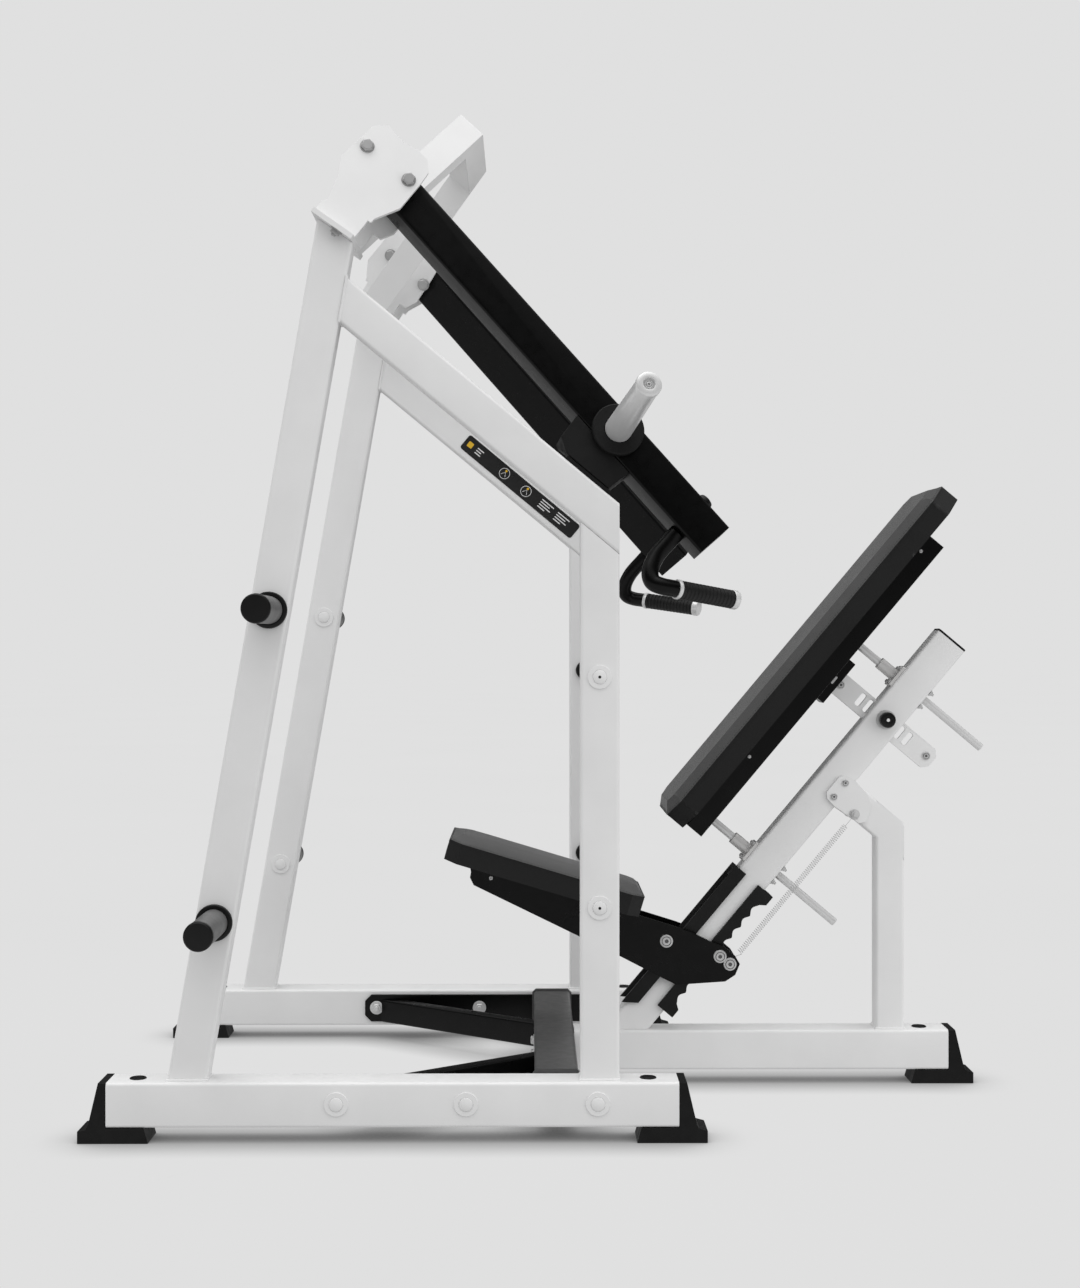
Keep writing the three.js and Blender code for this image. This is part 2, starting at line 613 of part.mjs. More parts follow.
/** The two side plates of the seat with the board that joins them. */
function seatCarriage() {
  const { inner, outer, board } = CARRIAGE;
  const outline = [
    underSeat(48, -GAP), [204, -428], [209.5, -437.7], [225, -444.6], [451, -388], [545, -364.4],
    [631, -345], [666, -336.5], [690, -314], [738, -268], [745, -245], [738, -222], [720, -215.6],
    [690, -215.6], [664.6, -225], [628, -234], [597, -245], [521.7, -276.5], underSeat(388, -GAP),
  ];
  const plates = plateY(outline, [inner, outer]).add(plateY(outline, [-outer, -inner]));
  const corners = [underSeat(60, -GAP), underSeat(360, -GAP), underSeat(360, -board), underSeat(60, -board)];
  const axleHole = rod(ROLLER.axle + GAP, 200, [ROLLER.x, -100, ROLLER.z], Y, SMALL_ROUND);
  return plates.add(plateY(corners, [-inner - 1, inner + 1])).subtract(axleHole);
}

/** The roller in front of the post, on its axle. */
function seatRoller() {
  const { x, z, radius, half, axle } = ROLLER;
  const wheel = rod(radius, 2 * half, [x, -half, z]);
  return wheel.add(rod(axle, 2 * CARRIAGE.outer, [x, -CARRIAGE.outer, z], Y, SMALL_ROUND));
}

/** The pin that drops into the rack's notches. */
function seatLockPin() {
  const half = CARRIAGE.inner - GAP;
  return rod(LOCK_PIN.radius, 2 * half, [LOCK_PIN.x, -half, LOCK_PIN.z], Y, SMALL_ROUND);
}

/** The seat pad in its own frame: X along it, Z up through it. */
function seatPad() {
  const { length, half, flatHalf, side, crown, end } = SEAT_PAD;
  const corner = 26;
  const ring = (y, x0, x1, z, cut) => [-1, 1].flatMap((s) => [
    [x0, s * (y - cut), z], [x0 + cut, s * y, z], [x1 - cut, s * y, z], [x1, s * (y - cut), z],
  ]);
  return hull([
    ...ring(half, 0, length, 0, corner),
    ...ring(half, 0, length, side, corner),
    ...ring(flatHalf, end, length - end, crown, corner / 2),
  ]);
}

// ------------------------------------------------------------------- back pad

/** The back pad, with a flat face, sloping flanks and cut corners. */
function backPad() {
  const { front, flank, back, low, high, end } = BACK_PAD;
  const { flat, side } = BACK_PAD_HALF;
  const ring = (x, y, z0, z1, cut) => [-1, 1].flatMap((s) => [
    [x, s * (y - cut), z0], [x, s * y, z0 + cut], [x, s * y, z1 - cut], [x, s * (y - cut), z1],
  ]);
  return hull([
    ...ring(back, side, low, high, end),
    ...ring(flank, side, low, high, end),
    ...ring(front, flat, low + end / 2, high - end / 2, end / 2),
  ]);
}

/** The steel board behind the pad, with the block that clamps the adjuster plate. */
function backBoard() {
  const front = BACK_PAD.back + GAP;
  const { back, half, low, high } = BACK_BOARD;
  const outline = [[front, low], [back, low], [back, high], [front, high]];
  const clamp = block([back - 1, CLAMP.back], [-CLAMP.half, CLAMP.half], [CLAMP.low, CLAMP.high]);
  const slit = adjusterRoom([ADJUSTER.front - GAP, CLAMP.back + 1], GAP, 1);
  return plateY(outline, [-half, half]).add(clamp).subtract(slit);
}

/** A guide rod from the board through its bushing. */
function guideRod(z) {
  const start = BACK_BOARD.back + GAP;
  return rod(GUIDE.rod, GUIDE_REAR - start, [start, 0, z], X, SMALL_ROUND);
}

/** The middle of a slot of the adjuster plate. */
function slotX(index) {
  return SLOT.first + index * SLOT.pitch;
}

/** The slotted plate that sets how far forward the back pad stands. */
function adjusterPlate() {
  const { front, rear, middle, half, thick, corner } = ADJUSTER;
  const [low, high] = [middle - half, middle + half];
  const outline = [
    [front, low], [rear - corner, low], [rear, low + corner], [rear, high - corner],
    [rear - corner, high], [front, high],
  ];
  let plate = plateY(outline, [-thick / 2, thick / 2]);
  for (let i = 0; i < SLOT.count; i += 1) {
    const x = slotX(i);
    const z = SLOT_HOLE.height;
    const hole = bar([x, -thick, z], [x, thick, z], [SLOT_HOLE.width, SLOT_HOLE.length, SLOT_HOLE.corner], X);
    plate = plate.subtract(hole);
  }
  return plate;
}

/** The spring-loaded pin that locks the adjuster plate, with its knob. */
function pullPin() {
  const { tip, radius, stem, knob, knobLength, collar } = PULL;
  const x = slotX(SLOT.locked);
  const face = POST.half + GAP - tip;
  const end = stem + knobLength;
  const profile = [
    [0, 0], [radius, 0], [radius, face], [collar, face], [collar, stem], [knob - 3, stem],
    [knob, stem + 3], [knob, end - 4], [knob - 4, end], [0, end],
  ];
  return turned(profile, [x, -tip, SLOT_HOLE.height], Y.clone().negate(), SMALL_ROUND);
}

/** The outer shape of the return spring. */
function seatSpring() {
  const { x, y, low, high, radius } = SPRING;
  return rod(radius, high - low, [x, y, low], Z, SMALL_ROUND);
}

// ------------------------------------------------------------------- assembly

/** A named mesh of a solid. */
function piece(name, solid, material) {
  const mesh = new THREE.Mesh(geometryOf(solid), material);
  mesh.name = name;
  return mesh;
}

/** A group that holds [name, solid, material] rows. */
function groupOf(rows, suffix = "") {
  const group = new THREE.Group();
  for (const [name, solid, material] of rows) group.add(piece(name + suffix, solid, material));
  return group;
}

const { white, black, rubber, chrome, darkTube, pad } = MATERIALS;
const sideInner = SIDE_BEAM.inner;
const sideBand = [sideInner, sideInner + BEAM.width];

const SIDE_ROWS = [
  ["base_beam", floorBeam(SIDE_BEAM.front, SIDE_BEAM.rear, sideInner + BEAM.width / 2, BEAM.width), white],
  ["front_foot", foot(SIDE_BEAM.front, -1, sideBand), rubber],
  ["rear_foot", foot(SIDE_BEAM.rear, 1, sideBand), rubber],
  ["crossbeam_flange", crossbeamFlange(), black],
  ["base_brace", baseBrace(), black],
  ["front_upright", frontUpright(), white],
  ["rear_upright", rearUpright(), white],
  ["diagonal_beam", diagonalBeam(), white],
  ["storage_peg_upper", storagePeg(PEGS.upper), darkTube],
  ["storage_peg_lower", storagePeg(PEGS.lower), darkTube],
  ["rest_bumper", restBumper(), rubber],
  ["pivot_bracket", pivotBracket(), white],
];

const ARM_ROWS = [
  ["pivot_shaft", pivotShaft(), chrome],
  ["lever_arm", leverArm(), black],
  ["weight_horn", weightHorn(), chrome],
  ["rest_block", restBlock(), rubber],
  ["handle", handle(), black],
  ["handle_grip", handleGrip(), rubber],
];

const POST_ROWS = [
  ["seat_post", seatPost(), white],
  ["post_cap", postCap(), black],
  ["seat_track", seatTrack(), black],
  ["seat_rack", seatRack(), black],
  ["guide_bushing_upper", guideBushing(GUIDES.upper), chrome],
  ["guide_bushing_lower", guideBushing(GUIDES.lower), chrome],
  ["seat_carriage", seatCarriage(), black],
  ["seat_roller", seatRoller(), rubber],
  ["seat_lock_pin", seatLockPin(), chrome],
  ["seat_spring", seatSpring(), chrome],
  ["back_pad", backPad(), pad],
  ["back_board", backBoard(), black],
  ["guide_rod_upper", guideRod(GUIDES.upper), chrome],
  ["guide_rod_lower", guideRod(GUIDES.lower), chrome],
  ["adjuster_plate", adjusterPlate(), white],
  ["pull_pin", pullPin(), black],
];

const MIDDLE_ROWS = [
  ["crossbeam", crossbeam(), black],
  ["spine_beam", floorBeam(CROSSBEAM.rear + GAP, SPINE.rear, 0, SPINE.width), white],
  ["spine_foot", foot(SPINE.rear, 1, [-SPINE.width / 2, SPINE.width / 2]), rubber],
  ["rear_support", rearSupport(), white],
  ["arch_beam", archBeam(), white],
];

/** One side frame with its arm: `side` is 1 on the right and -1 on the left. */
function sideAssembly(side, suffix) {
  const group = groupOf(SIDE_ROWS, suffix);
  const arm = groupOf(ARM_ROWS, suffix);
  arm.applyMatrix4(ARM_FRAME);
  group.add(arm);
  group.scale.y = side;
  return group;
}

/** The post with everything that slides along or through it. */
function postAssembly() {
  const group = groupOf(POST_ROWS);
  for (const [side, suffix] of [[-1, "_left"], [1, "_right"]]) {
    const gusset = piece("support_gusset" + suffix, supportGusset(), white);
    gusset.scale.y = side;
    group.add(gusset);
  }
  group.applyMatrix4(POST_FRAME);
  return group;
}

const machine = groupOf(MIDDLE_ROWS);
machine.add(sideAssembly(-1, "_left"));
machine.add(sideAssembly(1, "_right"));
machine.add(postAssembly());

const seat = piece("seat_pad", seatPad(), pad);
seat.position.set(SEAT_PAD_AT.x, 0, SEAT_PAD_AT.z);
seat.rotation.y = SEAT_PAD_AT.slope;
machine.add(seat);

const outerBox = new THREE.Box3().setFromObject(machine, true);
machine.position.x = -(outerBox.min.x + outerBox.max.x) / 2;
const assembly = new THREE.Group();
assembly.add(machine);

export default assembly;
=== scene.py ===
"""The looks of a plate-loaded seated shoulder press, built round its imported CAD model."""

import math

import bmesh
import bpy
from mathutils import Matrix, Vector
from mathutils.bvhtree import BVHTree


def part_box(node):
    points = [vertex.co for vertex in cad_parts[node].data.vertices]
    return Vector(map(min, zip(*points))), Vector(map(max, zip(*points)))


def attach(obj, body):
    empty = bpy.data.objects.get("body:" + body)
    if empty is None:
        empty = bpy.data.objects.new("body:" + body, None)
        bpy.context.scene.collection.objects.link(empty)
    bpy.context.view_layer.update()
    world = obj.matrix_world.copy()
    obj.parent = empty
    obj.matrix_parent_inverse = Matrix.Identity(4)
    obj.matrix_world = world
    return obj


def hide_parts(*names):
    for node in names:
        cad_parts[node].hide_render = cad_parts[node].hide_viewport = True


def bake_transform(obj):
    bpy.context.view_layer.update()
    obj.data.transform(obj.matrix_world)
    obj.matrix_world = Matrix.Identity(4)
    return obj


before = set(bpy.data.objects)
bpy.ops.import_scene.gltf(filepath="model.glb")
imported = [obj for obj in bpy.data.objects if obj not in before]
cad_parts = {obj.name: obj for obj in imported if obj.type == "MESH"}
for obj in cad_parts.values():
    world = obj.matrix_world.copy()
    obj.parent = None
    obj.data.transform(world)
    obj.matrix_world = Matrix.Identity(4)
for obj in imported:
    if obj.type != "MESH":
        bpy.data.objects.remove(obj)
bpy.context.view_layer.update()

MM = 0.001
SIDES = (("left", -1), ("right", 1))

# Angles of the machine's main lines.
POST_TILT = math.radians(40)
SEAT_TILT = math.radians(16.6)
DIAGONAL_TILT = math.radians(39.7)
UPRIGHT_LEAN = math.radians(9.87)

# Places, in millimetres. The machine's own X is zero this far in from the base beams' ends.
BEAM_REACH = 753.7
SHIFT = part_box("base_beam_left")[0].x / MM + BEAM_REACH
BASE = Matrix.Translation((SHIFT, 0, 0))
PIVOT = (-267.8, 365, 1741.2)
POST = BASE @ Matrix.Translation((0, 0, 888)) @ Matrix.Rotation(POST_TILT, 4, "Y")
SEAT = BASE @ Matrix.Translation((-168, 0, 463)) @ Matrix.Rotation(SEAT_TILT, 4, "Y")
ARM = (
    Matrix.Translation(PIVOT)
    @ Matrix.Rotation(math.radians(49.1), 4, "Y")
    @ Matrix.Rotation(math.radians(16), 4, "X")
    @ Matrix.Rotation(math.radians(2.7), 4, "Z")
)
HEAD = Matrix.Translation((-379.3, 0, 1659.5)) @ Matrix.Rotation(math.radians(35), 4, "Y")
DIAGONAL = Matrix.Translation((160, 0, 1139.4)) @ Matrix.Rotation(DIAGONAL_TILT, 4, "Y")

BEAM_TOP = 108
BEAM_MIDDLE = 427.5
BEAM_OUTER = 465
BOLT_LEVEL = 70
UPRIGHT_INNER = 400
UPRIGHT_OUTER = 450
UPRIGHT_FOOT_X = -612.8
UPRIGHT_DEPTH = 70
REAR_UPRIGHT_X = 90
DIAGONAL_DEPTH = 70
BASE_BOLTS_X = (-344.8, -113.8, 120.9)
PEGS = {"upper": (-465.7, 948.4), "lower": (-563.3, 391)}
REAR_BOLTS = ((124.5, 829), (124.5, 416.5))
CARRIAGE_BOLTS = ((697.5, -236), (722.8, -235), (594.8, -281.6))
CARRIAGE_FACE = 45
RACK_NEAR, RACK_FAR = 666.7, 705.4
RACK_LOW, RACK_HIGH = -393.5, -76.5
BRIDGE_LENGTH = 20
BRIDGE_LEVELS = (RACK_LOW, RACK_HIGH - BRIDGE_LENGTH)

# Directions in the frame that a form stands in. On a side frame +Y is away from the machine's middle.
UP, DOWN = (0, 0, 1), (0, 0, -1)
OUT, IN = (0, 1, 0), (0, -1, 0)
REARWARD, FORWARD = (1, 0, 0), (-1, 0, 0)

# Edges bent by more than this are sharp, on a CAD node and on a visual piece.
CAD_SHARP = math.radians(33)
SHARP = math.radians(34)

# A cushion's cells and seam width in millimetres, how far its cover may puff in metres,
# for how many frames it is simulated, and how firmly a seam holds it.
CELL = 9.0
SEAM_WIDTH = 1.6
PUFF = 0.0028
PUFF_FRAMES = 20
SEAM_HOLD = 0.92

# The woven covers' pitch in metres.
WEAVE_PITCH = 0.0042


def side_frame(side):
    """The machine's frame, mirrored for the left side."""
    return BASE @ Matrix.Diagonal((1, side, 1, 1))


# ------------------------------------------------------------------ materials


def add(tree, kind, values=(), **settings):
    """A node with its settings and the values of its input sockets."""
    node = tree.nodes.new("ShaderNode" + kind)
    for name, value in settings.items():
        setattr(node, name, value)
    for socket, value in dict(values).items():
        if isinstance(value, bpy.types.NodeSocket):
            tree.links.new(value, node.inputs[socket])
        else:
            node.inputs[socket].default_value = value
    return node


def started(name):
    """A material with a Principled shader, as (material, tree, shader, object coordinates)."""
    material = bpy.data.materials.new(name)
    material.use_nodes = True
    tree = material.node_tree
    tree.nodes.clear()
    shader = add(tree, "BsdfPrincipled")
    output = add(tree, "OutputMaterial")
    tree.links.new(shader.outputs[0], output.inputs[0])
    return material, tree, shader, add(tree, "TexCoord").outputs["Object"]


def noise(tree, coords, scale, detail=3.0):
    """A noise value between 0 and 1."""
    values = {"Vector": coords, "Scale": scale, "Detail": detail}
    return add(tree, "TexNoise", values).outputs[0]


def ranged(tree, value, low, high, start=0.3, end=0.7):
    """A value mapped from start..end to low..high."""
    values = {"Value": value, "From Min": start, "From Max": end, "To Min": low, "To Max": high}
    return add(tree, "MapRange", values).outputs[0]


def toned(tree, value, dark, light, start=0.3, end=0.7):
    """A colour between two, by a value."""
    ramp = add(tree, "ValToRGB", {"Fac": value})
    for element, place, colour in zip(ramp.color_ramp.elements, (start, end), (dark, light)):
        element.position = place
        element.color = (*colour, 1)
    return ramp.outputs[0]


def grey(level, warm=0.0):
    """A grey, or a slightly warm one."""
    return (level * (1 + warm), level, level * (1 - warm))


def bumped(tree, height, strength, depth, under=None):
    """A bump normal from a height, on top of another normal."""
    values = {"Height": height, "Strength": strength, "Distance": depth}
    if under is not None:
        values["Normal"] = under
    return add(tree, "Bump", values).outputs[0]


def coated(name, dark, light, rough, grain, metal=0.0, level=0.5, coat=0.0):
    """Paint, plastic, rubber or plated metal: soft blotches of colour and gloss over a fine grain."""
    material, tree, shader, coords = started(name)
    blotch = noise(tree, coords, 9.0)
    smear = noise(tree, coords, 55.0)
    size, strength, depth = grain
    fine = noise(tree, coords, size, 2.0)
    tree.links.new(toned(tree, blotch, dark, light), shader.inputs["Base Color"])
    tree.links.new(ranged(tree, smear, rough[0], rough[1]), shader.inputs["Roughness"])
    tree.links.new(bumped(tree, fine, strength, depth), shader.inputs["Normal"])
    shader.inputs["Metallic"].default_value = metal
    shader.inputs["Specular IOR Level"].default_value = level
    shader.inputs["Coat Weight"].default_value = coat
    shader.inputs["Coat Roughness"].default_value = 0.2
    return material


def brushed(name, dark, light, rough, stretch, metal):
    """Turned or ground metal: streaks round or along the piece."""
    material, tree, shader, coords = started(name)
    scaled = add(tree, "Mapping", {"Vector": coords, "Scale": stretch}).outputs[0]
    streak = noise(tree, scaled, 120.0)
    blotch = noise(tree, coords, 14.0)
    tree.links.new(toned(tree, blotch, dark, light), shader.inputs["Base Color"])
    tree.links.new(ranged(tree, streak, rough[0], rough[1]), shader.inputs["Roughness"])
    tree.links.new(bumped(tree, streak, 0.06, 0.0001), shader.inputs["Normal"])
    shader.inputs["Metallic"].default_value = metal
    return material


def padded_cover(name, turn, weave, dark, light):
    """Coated upholstery: a woven cover has a diamond relief, and a plain one a leather grain."""
    material, tree, shader, coords = started(name)
    flat = add(tree, "Mapping", {"Vector": coords, "Rotation": (0, -turn, 0)}).outputs[0]
    parts = add(tree, "SeparateXYZ", {"Vector": flat}).outputs
    grain = add(tree, "TexVoronoi", {"Vector": coords, "Scale": 620.0}).outputs[0]
    blotch = noise(tree, coords, 11.0)
    relief = grain
    if weave:
        waves = []
        for axis in weave:
            turns = {0: parts[axis], 1: 2 * math.pi / WEAVE_PITCH}
            scaled = add(tree, "Math", turns, operation="MULTIPLY").outputs[0]
            waves.append(add(tree, "Math", {0: scaled}, operation="SINE").outputs[0])
        crossed = add(tree, "Math", {0: waves[0], 1: waves[1]}, operation="MULTIPLY").outputs[0]
        relief = ranged(tree, crossed, 0.0, 1.0, -0.6, 0.6)
    shade = add(tree, "Math", {0: blotch, 1: relief}, operation="ADD").outputs[0]
    tree.links.new(toned(tree, shade, dark, light, 0.35, 1.0), shader.inputs["Base Color"])
    tree.links.new(ranged(tree, blotch, 0.5, 0.64), shader.inputs["Roughness"])
    soft = bumped(tree, noise(tree, coords, 260.0), 0.25, 0.0004)
    depth = 0.0006 if weave else 0.00025
    tree.links.new(bumped(tree, relief, 0.45, depth, soft), shader.inputs["Normal"])
    shader.inputs["Sheen Weight"].default_value = 0.25 if weave else 0.08
    shader.inputs["Sheen Roughness"].default_value = 0.4
    shader.inputs["Specular IOR Level"].default_value = 0.35
    return material


SMOOTH_GRAIN = (700.0, 0.04, 0.0002)
PRINT_GRAIN = (500.0, 0.05, 0.0001)
WHITE = coated("white_powder_coat", grey(0.81), grey(0.85), (0.36, 0.48), (1300.0, 0.12, 0.0002))
BLACK = coated("black_powder_coat", grey(0.0012), grey(0.0022), (0.26, 0.34), SMOOTH_GRAIN, level=0.25)
SATIN = coated("satin_black_coat", grey(0.09), grey(0.11), (0.36, 0.46), SMOOTH_GRAIN, level=0.3)
TUBE = coated("dark_grey_tube", grey(0.13), grey(0.16), (0.4, 0.52), (900.0, 0.2, 0.0002), level=0.4)
RUBBER = coated("moulded_rubber", grey(0.004), grey(0.007), (0.55, 0.72), (420.0, 0.3, 0.0004), level=0.35)
GRIP = coated("grip_rubber", grey(0.008), grey(0.014), (0.45, 0.6), (600.0, 0.25, 0.0003), level=0.4)
PLASTIC = coated("black_plastic", grey(0.003), grey(0.006), (0.38, 0.5), (800.0, 0.12, 0.0002), level=0.4)
ZINC = coated("zinc_plate", grey(0.7, 0.01), grey(0.8, 0.01), (0.3, 0.46), (700.0, 0.1, 0.0002), metal=0.35)
BOLT = coated("plated_fasteners", grey(0.64), grey(0.74), (0.3, 0.42), (900.0, 0.1, 0.0002), metal=0.4)
DARK_BOLT = coated("dull_fasteners", grey(0.46), grey(0.54), (0.36, 0.5), (900.0, 0.1, 0.0002), metal=0.6)
CHROME = brushed("chromed_steel", grey(0.8), grey(0.86), (0.28, 0.36), (0.6, 6.0, 0.6), 0.35)
VINYL = coated("black_vinyl", grey(0.010), grey(0.014), (0.25, 0.36), PRINT_GRAIN, coat=0.3)
PRINT_WHITE = coated("white_print", grey(0.72), grey(0.8), (0.3, 0.4), PRINT_GRAIN)
PRINT_YELLOW = coated("yellow_print", (0.72, 0.42, 0.02), (0.8, 0.5, 0.03), (0.3, 0.4), PRINT_GRAIN)
THREAD = coated("black_thread", grey(0.012), grey(0.03), (0.6, 0.8), (2200.0, 0.4, 0.0002), level=0.3)
BACK_WEAVE = padded_cover("back_cover_woven", POST_TILT, (1, 2), grey(0.018), grey(0.05))
SEAT_WEAVE = padded_cover("seat_cover_woven", SEAT_TILT, (0, 1), grey(0.018), grey(0.05))
SIDE_COVER = padded_cover("cover_side_panels", 0.0, (), grey(0.006), grey(0.012))


# ------------------------------------------------------------ frame's own look


def smoothing_group():
    """Geometry nodes that join an imported mesh's loose faces and shade it smooth up to an angle."""
    group = bpy.data.node_groups.new("joined_and_smoothed", "GeometryNodeTree")
    for way in ("INPUT", "OUTPUT"):
        group.interface.new_socket("Geometry", in_out=way, socket_type="NodeSocketGeometry")
    start = group.nodes.new("NodeGroupInput")
    end = group.nodes.new("NodeGroupOutput")
    merge = group.nodes.new("GeometryNodeMergeByDistance")
    merge.inputs["Distance"].default_value = 0.02 * MM
    faces = group.nodes.new("GeometryNodeSetShadeSmooth")
    edges = group.nodes.new("GeometryNodeSetShadeSmooth")
    edges.domain = "EDGE"
    edges.inputs["Shade Smooth"].default_value = False
    angle = group.nodes.new("GeometryNodeInputMeshEdgeAngle")
    sharp = group.nodes.new("FunctionNodeCompare")
    sharp.inputs[1].default_value = CAD_SHARP
    group.links.new(angle.outputs[0], sharp.inputs[0])
    group.links.new(sharp.outputs[0], edges.inputs["Selection"])
    chain = [start, merge, faces, edges, end]
    for before, after in zip(chain, chain[1:]):
        group.links.new(before.outputs[0], after.inputs[0])
    return group


SMOOTHED = smoothing_group()


def rounded(obj, width, segments=2):
    """Breaks the object's sharp edges."""
    bevel = obj.modifiers.new("broken_edges", "BEVEL")
    bevel.width = width * MM
    bevel.segments = segments
    bevel.limit_method = "ANGLE"
    bevel.angle_limit = SHARP
    bevel.harden_normals = True


def dress(node, material, edge=0.8):
    """Gives a CAD node its material, smooth rounds and broken edges."""
    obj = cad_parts[node]
    mesh = obj.data
    if "custom_normal" in mesh.attributes:
        mesh.attributes.remove(mesh.attributes["custom_normal"])
    obj.modifiers.new("smoothed", "NODES").node_group = SMOOTHED
    if edge:
        rounded(obj, edge)
    mesh.materials.clear()
    mesh.materials.append(material)


PAIRS = {
    "base_beam": (WHITE, 0.8), "front_upright": (WHITE, 0.8), "rear_upright": (WHITE, 0.8),
    "diagonal_beam": (WHITE, 0.8), "pivot_bracket": (WHITE, 0.8), "support_gusset": (WHITE, 0.6),
    "crossbeam_flange": (BLACK, 0.8), "base_brace": (BLACK, 0.6), "lever_arm": (BLACK, 1.2),
    "front_foot": (RUBBER, 1.6), "rear_foot": (RUBBER, 1.6), "rest_bumper": (RUBBER, 1.2),
    "rest_block": (RUBBER, 3.0), "pivot_shaft": (ZINC, 0.8),
}
SINGLES = {
    "crossbeam": (SATIN, 0.8), "spine_beam": (WHITE, 0.8), "seat_post": (WHITE, 0.8),
    "rear_support": (WHITE, 0.8), "arch_beam": (WHITE, 2.0), "spine_foot": (RUBBER, 1.6),
    "post_cap": (PLASTIC, 1.0), "seat_track": (PLASTIC, 0.6), "seat_roller": (PLASTIC, 0.8),
    "seat_carriage": (BLACK, 0.8), "back_board": (BLACK, 1.2), "seat_lock_pin": (ZINC, 0.4),
    "guide_bushing_upper": (ZINC, 0.6), "guide_bushing_lower": (ZINC, 0.6),
    "guide_rod_upper": (CHROME, 0.8), "guide_rod_lower": (CHROME, 0.8),
    "adjuster_plate": (WHITE, 0.6),
}
for stem, look in PAIRS.items():
    for side_name, _ in SIDES:
        dress(f"{stem}_{side_name}", *look)
for node_name, look in SINGLES.items():
    dress(node_name, *look)


# -------------------------------------------------------------- mesh building


def lathe(profile, segments=40):
    """A turned form from (radius, height) points, with its height along Z."""
    verts, rings = [], []
    for radius, height in profile:
        first = len(verts)
        if radius == 0:
            verts.append(Vector((0, 0, height)))
            rings.append([first] * segments)
            continue
        for i in range(segments):
            angle = 2 * math.pi * i / segments
            verts.append(Vector((radius * math.cos(angle), radius * math.sin(angle), height)))
        rings.append(list(range(first, first + segments)))
    faces = []
    for low, high in zip(rings, rings[1:]):
        for i in range(segments):
            j = (i + 1) % segments
            face = list(dict.fromkeys((low[i], low[j], high[j], high[i])))
            if len(face) > 2:
                faces.append(face)
    return verts, faces


def prism(outline, y0, y1):
    """An (x, z) outline made solid between two values of y."""
    count = len(outline)
    verts = [Vector((x, y, z)) for y in (y0, y1) for x, z in outline]
    faces = [list(range(count)), list(range(2 * count - 1, count - 1, -1))]
    faces += [[i, (i + 1) % count, count + (i + 1) % count, count + i] for i in range(count)]
    return verts, faces


def sweep(path, radius, segments=16):
    """A tube of a radius, or of one radius for each point, along a path."""
    path = [Vector(p) for p in path]
    radii = radius if isinstance(radius, list) else [radius] * len(path)
    tangent = (path[1] - path[0]).normalized()
    across = tangent.orthogonal().normalized()
    verts = []
    for i, point in enumerate(path):
        ahead = path[min(i + 1, len(path) - 1)]
        behind = path[max(i - 1, 0)]
        turned = (ahead - behind).normalized()
        across = (tangent.rotation_difference(turned) @ across).normalized()
        tangent = turned
        other = tangent.cross(across)
        for k in range(segments):
            angle = 2 * math.pi * k / segments
            verts.append(point + radii[i] * (across * math.cos(angle) + other * math.sin(angle)))
    faces = [list(range(segments - 1, -1, -1)), list(range(len(verts) - segments, len(verts)))]
    for i in range(len(path) - 1):
        for k in range(segments):
            j = (k + 1) % segments
            low = i * segments
            faces.append([low + k, low + j, low + segments + j, low + segments + k])
    return verts, faces


def aim(at, direction):
    """The matrix that stands a turned form on a point, along a direction."""
    turn = Vector(direction).to_track_quat("Z", "Y").to_matrix().to_4x4()
    return Matrix.Translation(at) @ turn


def smooth_path(points, steps=8):
    """A Catmull-Rom curve through the points."""
    ends = [points[0] * 2 - points[1], *points, points[-1] * 2 - points[-2]]
    made = []
    for a, b, c, d in zip(ends, ends[1:], ends[2:], ends[3:]):
        for i in range(steps):
            t = i / steps
            bend = (2 * a - 5 * b + 4 * c - d) * t**2
            twist = (3 * b - a - 3 * c + d) * t**3
            made.append(0.5 * (2 * b + (c - a) * t + bend + twist))
    return [*made, points[-1]]


def linked(name, mesh, material, body):
    """An object of a mesh that rides on a body."""
    obj = bpy.data.objects.new(name, mesh)
    bpy.context.scene.collection.objects.link(obj)
    mesh.materials.append(material)
    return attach(obj, body)


def piece(name, forms, material, body="root", edge=0.0, replaces=()):
    """A piece from (form, matrix) rows in millimetres."""
    shell = bmesh.new()
    for (verts, faces), matrix in forms:
        made = [shell.verts.new((matrix @ v) * MM) for v in verts]
        for face in faces:
            shell.faces.new([made[i] for i in face])
    bmesh.ops.remove_doubles(shell, verts=shell.verts, dist=1e-6)
    bmesh.ops.recalc_face_normals(shell, faces=shell.faces)
    for face in shell.faces:
        face.smooth = True
    mesh = bpy.data.meshes.new(name)
    shell.to_mesh(mesh)
    shell.free()
    mesh.set_sharp_from_angle(angle=SHARP)
    obj = linked(name, mesh, material, body)
    if edge:
        rounded(obj, edge)
    if replaces:
        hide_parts(*replaces)
    return obj


# ------------------------------------------------------------------ fasteners


def washer(radius, thick):
    """A flat washer with broken edges."""
    rim = [(radius - 0.3, 0), (radius, 0.3), (radius, thick - 0.5), (radius - 0.5, thick)]
    return lathe([(0, 0), *rim, (0, thick)])


def hex_head(radius, start, height):
    """A chamfered hexagon with the round land on its top."""
    top = start + height
    sides = [(radius, start), (radius, top - 1.6), (radius * 0.87, top - 0.4)]
    body = lathe([(0, start), *sides, (0, top - 0.4)], 6)
    land = lathe([(0, top - 1), (radius * 0.8, top - 0.9), (radius * 0.74, top), (0, top)])
    return [body, land]


def hex_bolt(at, direction, radius=13, height=8, plate=18.5, thick=2.5):
    """A hexagon bolt's head on its washer."""
    matrix = aim(at, direction)
    forms = [washer(plate, thick), *hex_head(radius, thick, height)]
    return [(form, matrix) for form in forms]


